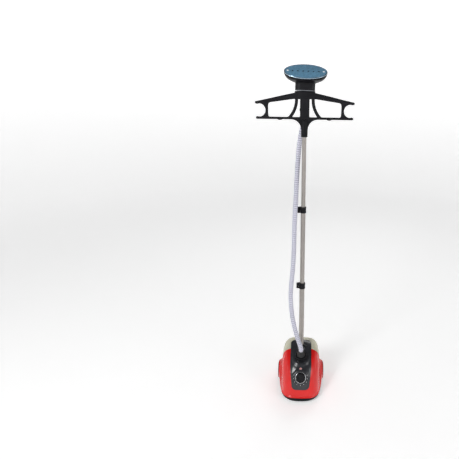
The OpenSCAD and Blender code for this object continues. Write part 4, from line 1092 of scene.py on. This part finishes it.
def make_clamp(level, radius, inner, body, name):
    """A clamp round the tube of a radius, in millimetres, with two ears, a pin and the lever between them."""
    at = (0.0, POLE_Y, level * MM)
    pin_x = -(radius + CLAMP_T + EAR_R + 1)
    outer = radius + CLAMP_T
    wall = rounded([(inner + 0.06, CLAMP_H), (inner + 0.06, 21), (radius, 21), (radius, 0), (outer, 0, 0.8),
                    (outer, 6.4, 0.3), (outer - 0.7, 6.8, 0.3), (outer - 0.7, 21.2, 0.3), (outer, 21.6, 0.3),
                    (outer, CLAMP_H - 0.4, 1.4)])
    clamp = lathe("clamp_" + name, wall, at, UPRIGHT, 96, closed=True)
    ear = arc(pin_x, 0, EAR_R, 90, 270, 16) + [(-radius - 1.5, -EAR_R, 0), (-radius - 1.5, EAR_R, 0)]
    ears = [plate("ear", [ear], z, z + EAR_H, 0.9, Matrix.Translation(at)) for z in (0, CLAMP_H - EAR_H)]
    put(combined(clamp, ears), body, "black_plastic", "clamp_" + name)
    pin = rounded([(0.01, -0.6), (2, -0.6, 0.5), (2, CLAMP_H + 0.6, 0.5), (0.01, CLAMP_H + 0.6)])
    pin = lathe("clamp_pin_" + name, pin, (pin_x * MM, POLE_Y, level * MM), UPRIGHT, 32)
    put(pin, body, "steel", "clamp_pin_" + name)
    reach = outer + 6.5
    meet = 2 * math.degrees(math.asin((EAR_R - 0.2) / 2 / reach))
    outline = (arc(pin_x, 0, EAR_R - 0.2, 90 - meet / 2, 360, 24) + arc(0, 0, outer + 1.2, 176, 84, 24)
               + arc(0, 0, outer + 3.85, 80, 79, 2) + arc(0, 0, reach, 83, 180 - meet, 24))
    lever = plate("lever_" + name, [outline], EAR_H + 0.3, CLAMP_H - EAR_H - 0.3, 1.2, Matrix.Translation(at))
    ridge_place = [Matrix.Translation(at) @ Matrix.Rotation(math.radians(a), 4, "Z") for a in (96, 102, 108)]
    bar = [(reach - 1.2, -0.9, 0), (reach + 0.5, -0.9, 0), (reach + 0.5, 0.9, 0), (reach - 1.2, 0.9, 0)]
    ridges = [plate("ridge", [bar], EAR_H + 2.3, CLAMP_H - EAR_H - 2.3, 0.3, m) for m in ridge_place]
    put(combined(lever, ridges), "lever_low" if name == "lower" else "lever_high", "black_plastic",
        "lever_" + name)


make_clamp(560, 12.5, 11.0, "base", "lower")
make_clamp(940, 11.0, 9.5, "middle", "upper")

# ---- hanger -----------------------------------------------------------------------------------------

HANGER_Z, HANGER_T, HUB_Y, RIM_Z = 1344.0, 14.0, 0.047, 1455.0
BAR_H, STRUT_HALF, ARCH_R, COLUMN_HALF = 9.5, 6.5, 104.0, 19.5
HOOK = (187.5, 35.0, 25.5)
ARCH = (138.0, 79.0)
HUB_A, HUB_B = 43.0, 29.0


def curve_through(points):
    """Corners on a smooth curve through points."""
    flat = spline(np.array([[x, y, 0.0] for x, y in points]), 5.0)
    return [(x, y, 0) for x, y, _ in flat]


def hanger_loops():
    """The plate's outline and its windows, from the foot of the lower bar."""
    hx, hz, hr = HOOK
    right = (
        arc(56, -42, 42, 180, 91, 20)
        + arc(102, 4.5, 13.5, -143.5, -36.5, 12, squash=0.56)
        + [(195, 0, 0)]
        + arc(197.5, 5, 5, -85, 80, 12)
        + arc(hx, hz, hr, -70, -290, 40)
        + arc(199.5, 65, 5.4, -100, 72, 12)
        + curve_through([(198.5, 70.1), (159, 78.5), (110, 89.6), (70, 98.2), (42, 104)])
    )
    left = [(-x, y, c) for x, y, c in reversed(right)]
    outer = rounded(right + left, 0, closed=True)
    cross = lambda radius, z: ARCH[0] - math.sqrt(radius ** 2 - (ARCH[1] - z) ** 2)

    def strut(radius, low, high):
        return [(cross(radius, z), z, 0) for z in np.linspace(low, high, 24)]

    near, far = ARCH_R - STRUT_HALF, ARCH_R + STRUT_HALF
    # Outer window: up the curved strut, along under the top band and down the hook's post.
    window = ([(cross(near, BAR_H), BAR_H, 5)] + strut(near, BAR_H + 5.5, 73)
              + [(40.2, 80.6, 5), (146, 65.5, 6), (151.5, 58, 8), (151.5, 20, 8), (149.5, BAR_H, 5)])
    inner = ([(COLUMN_HALF, BAR_H, 5), (cross(far, BAR_H), BAR_H, 4)] + strut(far, BAR_H + 4.5, 73)
             + [(27.5, 81, 3), (COLUMN_HALF, 81, 3)])
    loops = [outer]
    for loop in (window, inner):
        loops.append(rounded(loop, 0, closed=True))
        loops.append(rounded([(-x, y, c) for x, y, c in reversed(loop)], 0, closed=True))
    return loops


def stadium(half_a, half_b, inset, sides=96):
    """Plan of the hub: two round ends and straight sides."""
    r, run = half_b - inset, half_a - half_b
    angle = np.linspace(0, 2 * math.pi, sides, endpoint=False)
    return np.column_stack([np.sign(np.cos(angle)) * run + r * np.cos(angle), r * np.sin(angle)])


def stacked(name, outline, profile, place, closed=False, soft_angle=40):
    """A piece through level copies of outline(inset). profile holds inset and level in millimetres."""
    points = np.array([np.column_stack([outline(inset), np.full(len(outline(inset)), level)])
                       for inset, level in profile]) * MM
    obj = mesh_object(name, points.reshape(-1, 3), ring_faces(*points.shape[:2], closed), soft_angle)
    obj.data.transform(place)
    return obj


def make_hanger():
    """The frame is one moulding: plate, sleeve over the pole and the hub that the handset stands in."""
    upright = axes_at((0.0, POLE_Y, HANGER_Z * MM), (1, 0, 0), (0, -1, 0))
    frame_plate = plate("hanger", hanger_loops(), -HANGER_T / 2, HANGER_T / 2, 1.8, upright)
    at = (0.0, POLE_Y, HANGER_Z * MM)
    sleeve = rounded([(9.5, -71), (13.2, -71, 0.6), (14, -69.5, 0.8), (14, -66, 0.3), (13.4, -65.6, 0.3),
                      (13.4, -63, 0.3), (14, -62.6, 0.3), (14, -4, 2), (9.5, -2)])
    sleeve = lathe("sleeve", sleeve, at, UPRIGHT, 96, closed=True)
    place = Matrix.Translation((0, HUB_Y, 0))
    top, low = RIM_Z, HANGER_Z + 80
    profile = rounded([(3, low), (0.8, low, 1.2), (0, low + 2.5, 1.2), (0, top - 6.0, 0.4),
                       (0, top - 1.6, 1.2),
                       (0.8, top, 0.8), (2.9, top, 0.6), (3.5, top - 1.2, 0.6), (3.5, low + 5)])
    hub = stacked("hub", lambda inset: stadium(HUB_A, HUB_B, inset), profile, place)
    bore = lathe("bore", [(17.9, -30), (17.9, 60)], (0.0, HUB_Y + 0.010, low * MM), UPRIGHT, 96)
    combined(hub, [bore], "DIFFERENCE")
    bore = lathe("bore", [(17.9, -90), (17.9, 20)], (0.0, HUB_Y + 0.010, low * MM), UPRIGHT, 96)
    combined(frame_plate, [bore], "DIFFERENCE")
    channel = lathe("channel", [(9.5, -90), (9.5, -2)], at, UPRIGHT, 64)
    combined(frame_plate, [channel], "DIFFERENCE")
    put(combined(frame_plate, [sleeve, hub], soft_angle=45), "upper", "black_plastic", "hanger_frame")
    level = HANGER_Z + 38
    lean = (level - RIM_Z) * math.tan(REST_LEAN)
    clip_at = Matrix.Translation((lean * MM, HUB_Y + 0.010, level * MM))
    outer, inner = 20.0, 16.7
    foot = -(HUB_Y + 0.010 - POLE_Y - 0.007) / MM
    turn = math.degrees(math.asin(8 / outer))
    outline = (arc(0, 0, outer, 136, 270 - turn, 24) + [(-8, foot, 0), (8, foot, 0)]
               + arc(0, 0, outer, 270 + turn, 413, 24) + arc(0, 0, inner, 413, 136, 40))
    put(plate("cradle_clip", [outline], -6, 6, 0.8, clip_at), "upper", "black_plastic", "cradle_clip")


make_hanger()

# ---- handset ----------------------------------------------------------------------------------------

PLATE_A, PLATE_B, NECK_A, NECK_B, HEAD_BASE = 87.5, 49.0, 41.5, 24.5, 31.0
PLATE_LEAN = math.radians(37)
PLATE_C = np.array([0.0, -25.0, 72.0])
HANDLE_R, HANDLE_LOW, HANDLE_Y = 15.5, -112.0, 10.0
HANDSET = Matrix.Translation((0, HUB_Y, RIM_Z * MM)) @ Matrix.Rotation(REST_LEAN, 4, "Y")
PLATE_AT = HANDSET @ Matrix.Translation(PLATE_C * MM) @ Matrix.Rotation(PLATE_LEAN, 4, "X")


def handset_put(obj, slot, place, *replaced, finish=None):
    obj.data.transform(place)
    return put(obj, "handset", slot, *replaced, finish=finish)


def bowl_ring(centre, a, b, lean, power):
    """An oval ring, leaned back by lean."""
    angle = np.linspace(0, 2 * math.pi, 128, endpoint=False)
    c, s = np.cos(angle), np.sin(angle)
    x, v = a * np.sign(c) * np.abs(c) ** (2 / power), b * np.sign(s) * np.abs(s) ** (2 / power)
    return np.stack([x, centre[1] + v * math.cos(lean), centre[2] + v * math.sin(lean)], axis=-1)


def make_head():
    """The shell flares from the neck in the hub to the oval plate."""
    neck = [(1.2, 3.0), (0.4, 3.4), (0.0, 4.6), (0.0, 12), (0.0, 22)]
    rings = [bowl_ring((0, 0, z), NECK_A - inset, NECK_B - inset, 0, 3.2) for inset, z in neck]
    for s in np.linspace(0, 1, 44):
        grow = math.sin(math.pi / 2 * s)
        lift = 0.4 * s + 0.6 * (1 - math.cos(math.pi / 2 * s))
        centre = (1 - lift) * np.array([0, 0, HEAD_BASE]) + lift * PLATE_C
        rings.append(bowl_ring(centre, NECK_A + (PLATE_A - NECK_A) * grow, NECK_B + (PLATE_B - NECK_B) * grow,
                               PLATE_LEAN * lift, 3.2 - 1.2 * grow))
    shell = grid_object("head_shell", np.array(rings) * MM, closed=True)
    handset_put(thickened(shell, 0.0028, 0.0005), "black_gloss", HANDSET, "head_shell")


def oval(inset):
    angle = np.linspace(0, 2 * math.pi, 144, endpoint=False)
    return np.column_stack([(PLATE_A - inset) * np.cos(angle), (PLATE_B - inset) * np.sin(angle)])


def make_plate():
    """The steam plate with its outlets, in a bright edge, with a stud at each end."""
    outlets = [arc(21 * k, 0, 3.5, 0, 337.5, 16) for k in np.arange(-2.5, 3)]
    face = plate("steam_plate", [oval(4.2)] + outlets, 2.2, 3.1, 0.35, Matrix.Identity(4))
    handset_put(face, "plate_blue", PLATE_AT, "steam_plate")
    profile = rounded([(3.9, 0.1), (0, 0.1, 0.5), (0, 1.6, 1.0), (1.6, 2.7, 0.9), (3.9, 2.6)])
    rim = stacked("plate_rim", oval, profile, Matrix.Identity(4), closed=True)
    handset_put(rim, "plate_edge", PLATE_AT, "plate_rim")
    for name, x in (("stud_left", -0.072), ("stud_right", 0.072)):
        dome = rounded([(0.01, 3.1), (4.6, 3.1), (4.3, 4.0, 0.6), (3.0, 4.7, 0.8), (0.01, 4.9)])
        stud = lathe(name, dome, (x, 0, 0), UPRIGHT, 48)
        handset_put(stud, "plate_edge", PLATE_AT, *(["plate_studs"] if x < 0 else []), finish=STUD)
    profile = [(8, -1.6), (3.2, -1.6), (3.2, -0.2), (4.6, -0.1), (4.6, 2.1), (8, 2.1)]
    under = stacked("plate_seat", oval, profile, Matrix.Identity(4))
    handset_put(under, "black_plastic", PLATE_AT)


def make_handle():
    ring = rounded([(2.0, 1.3), (0, 1.3, 0.4), (0, 3.0, 0.4), (2.0, 3.0)])
    collar = stacked("neck_ring", lambda inset: stadium(NECK_A, NECK_B, inset), ring, Matrix.Identity(4))
    bore = lathe("bore", [(HANDLE_R, -4), (HANDLE_R, 8)], (0, HANDLE_Y * MM, 0), UPRIGHT, 96)
    handset_put(combined(collar, [bore], "DIFFERENCE"), "ring_grey", HANDSET, "neck_ring")
    at = (0.0, HANDLE_Y * MM, 0.0)
    wall = [(HANDLE_R - 2.5, 3), (HANDLE_R - 2.5, HANDLE_LOW), (HANDLE_R, HANDLE_LOW, 0.8)]
    for k in range(7):
        z = HANDLE_LOW + 12 + 7 * k
        wall += [(HANDLE_R, z, 0.3), (HANDLE_R - 0.8, z + 0.8, 0.5), (HANDLE_R, z + 1.6, 0.3)]
    wall += [(HANDLE_R, 3)]
    grip = lathe("handle_grip", rounded(wall), at, UPRIGHT, 96, closed=True)
    handset_put(grip, "black_gloss", HANDSET, "handle_grip")
    cuff = [(12, HANDLE_LOW), (12, HANDLE_LOW - 10), (14.3, HANDLE_LOW - 10, 0.9), (14.7, HANDLE_LOW - 6, 0.4),
            (13.9, HANDLE_LOW - 5.4, 0.4), (14.9, HANDLE_LOW - 4.6, 0.4), (15.4, HANDLE_LOW)]
    tail = lathe("tail_cuff", rounded(cuff), at, UPRIGHT, 96, closed=True)
    handset_put(tail, "rubber", HANDSET, "tail_cuff")


make_head()
make_plate()
make_handle()

# ---- finishes of the CAD nodes that stay ------------------------------------------------------------

for part in frame["record"]["subparts"]:
    node = frame["nodes"][part["node"]]
    node.data.materials.clear()
    node.data.materials.append(SLOT_FINISH[part["material_slot"]])
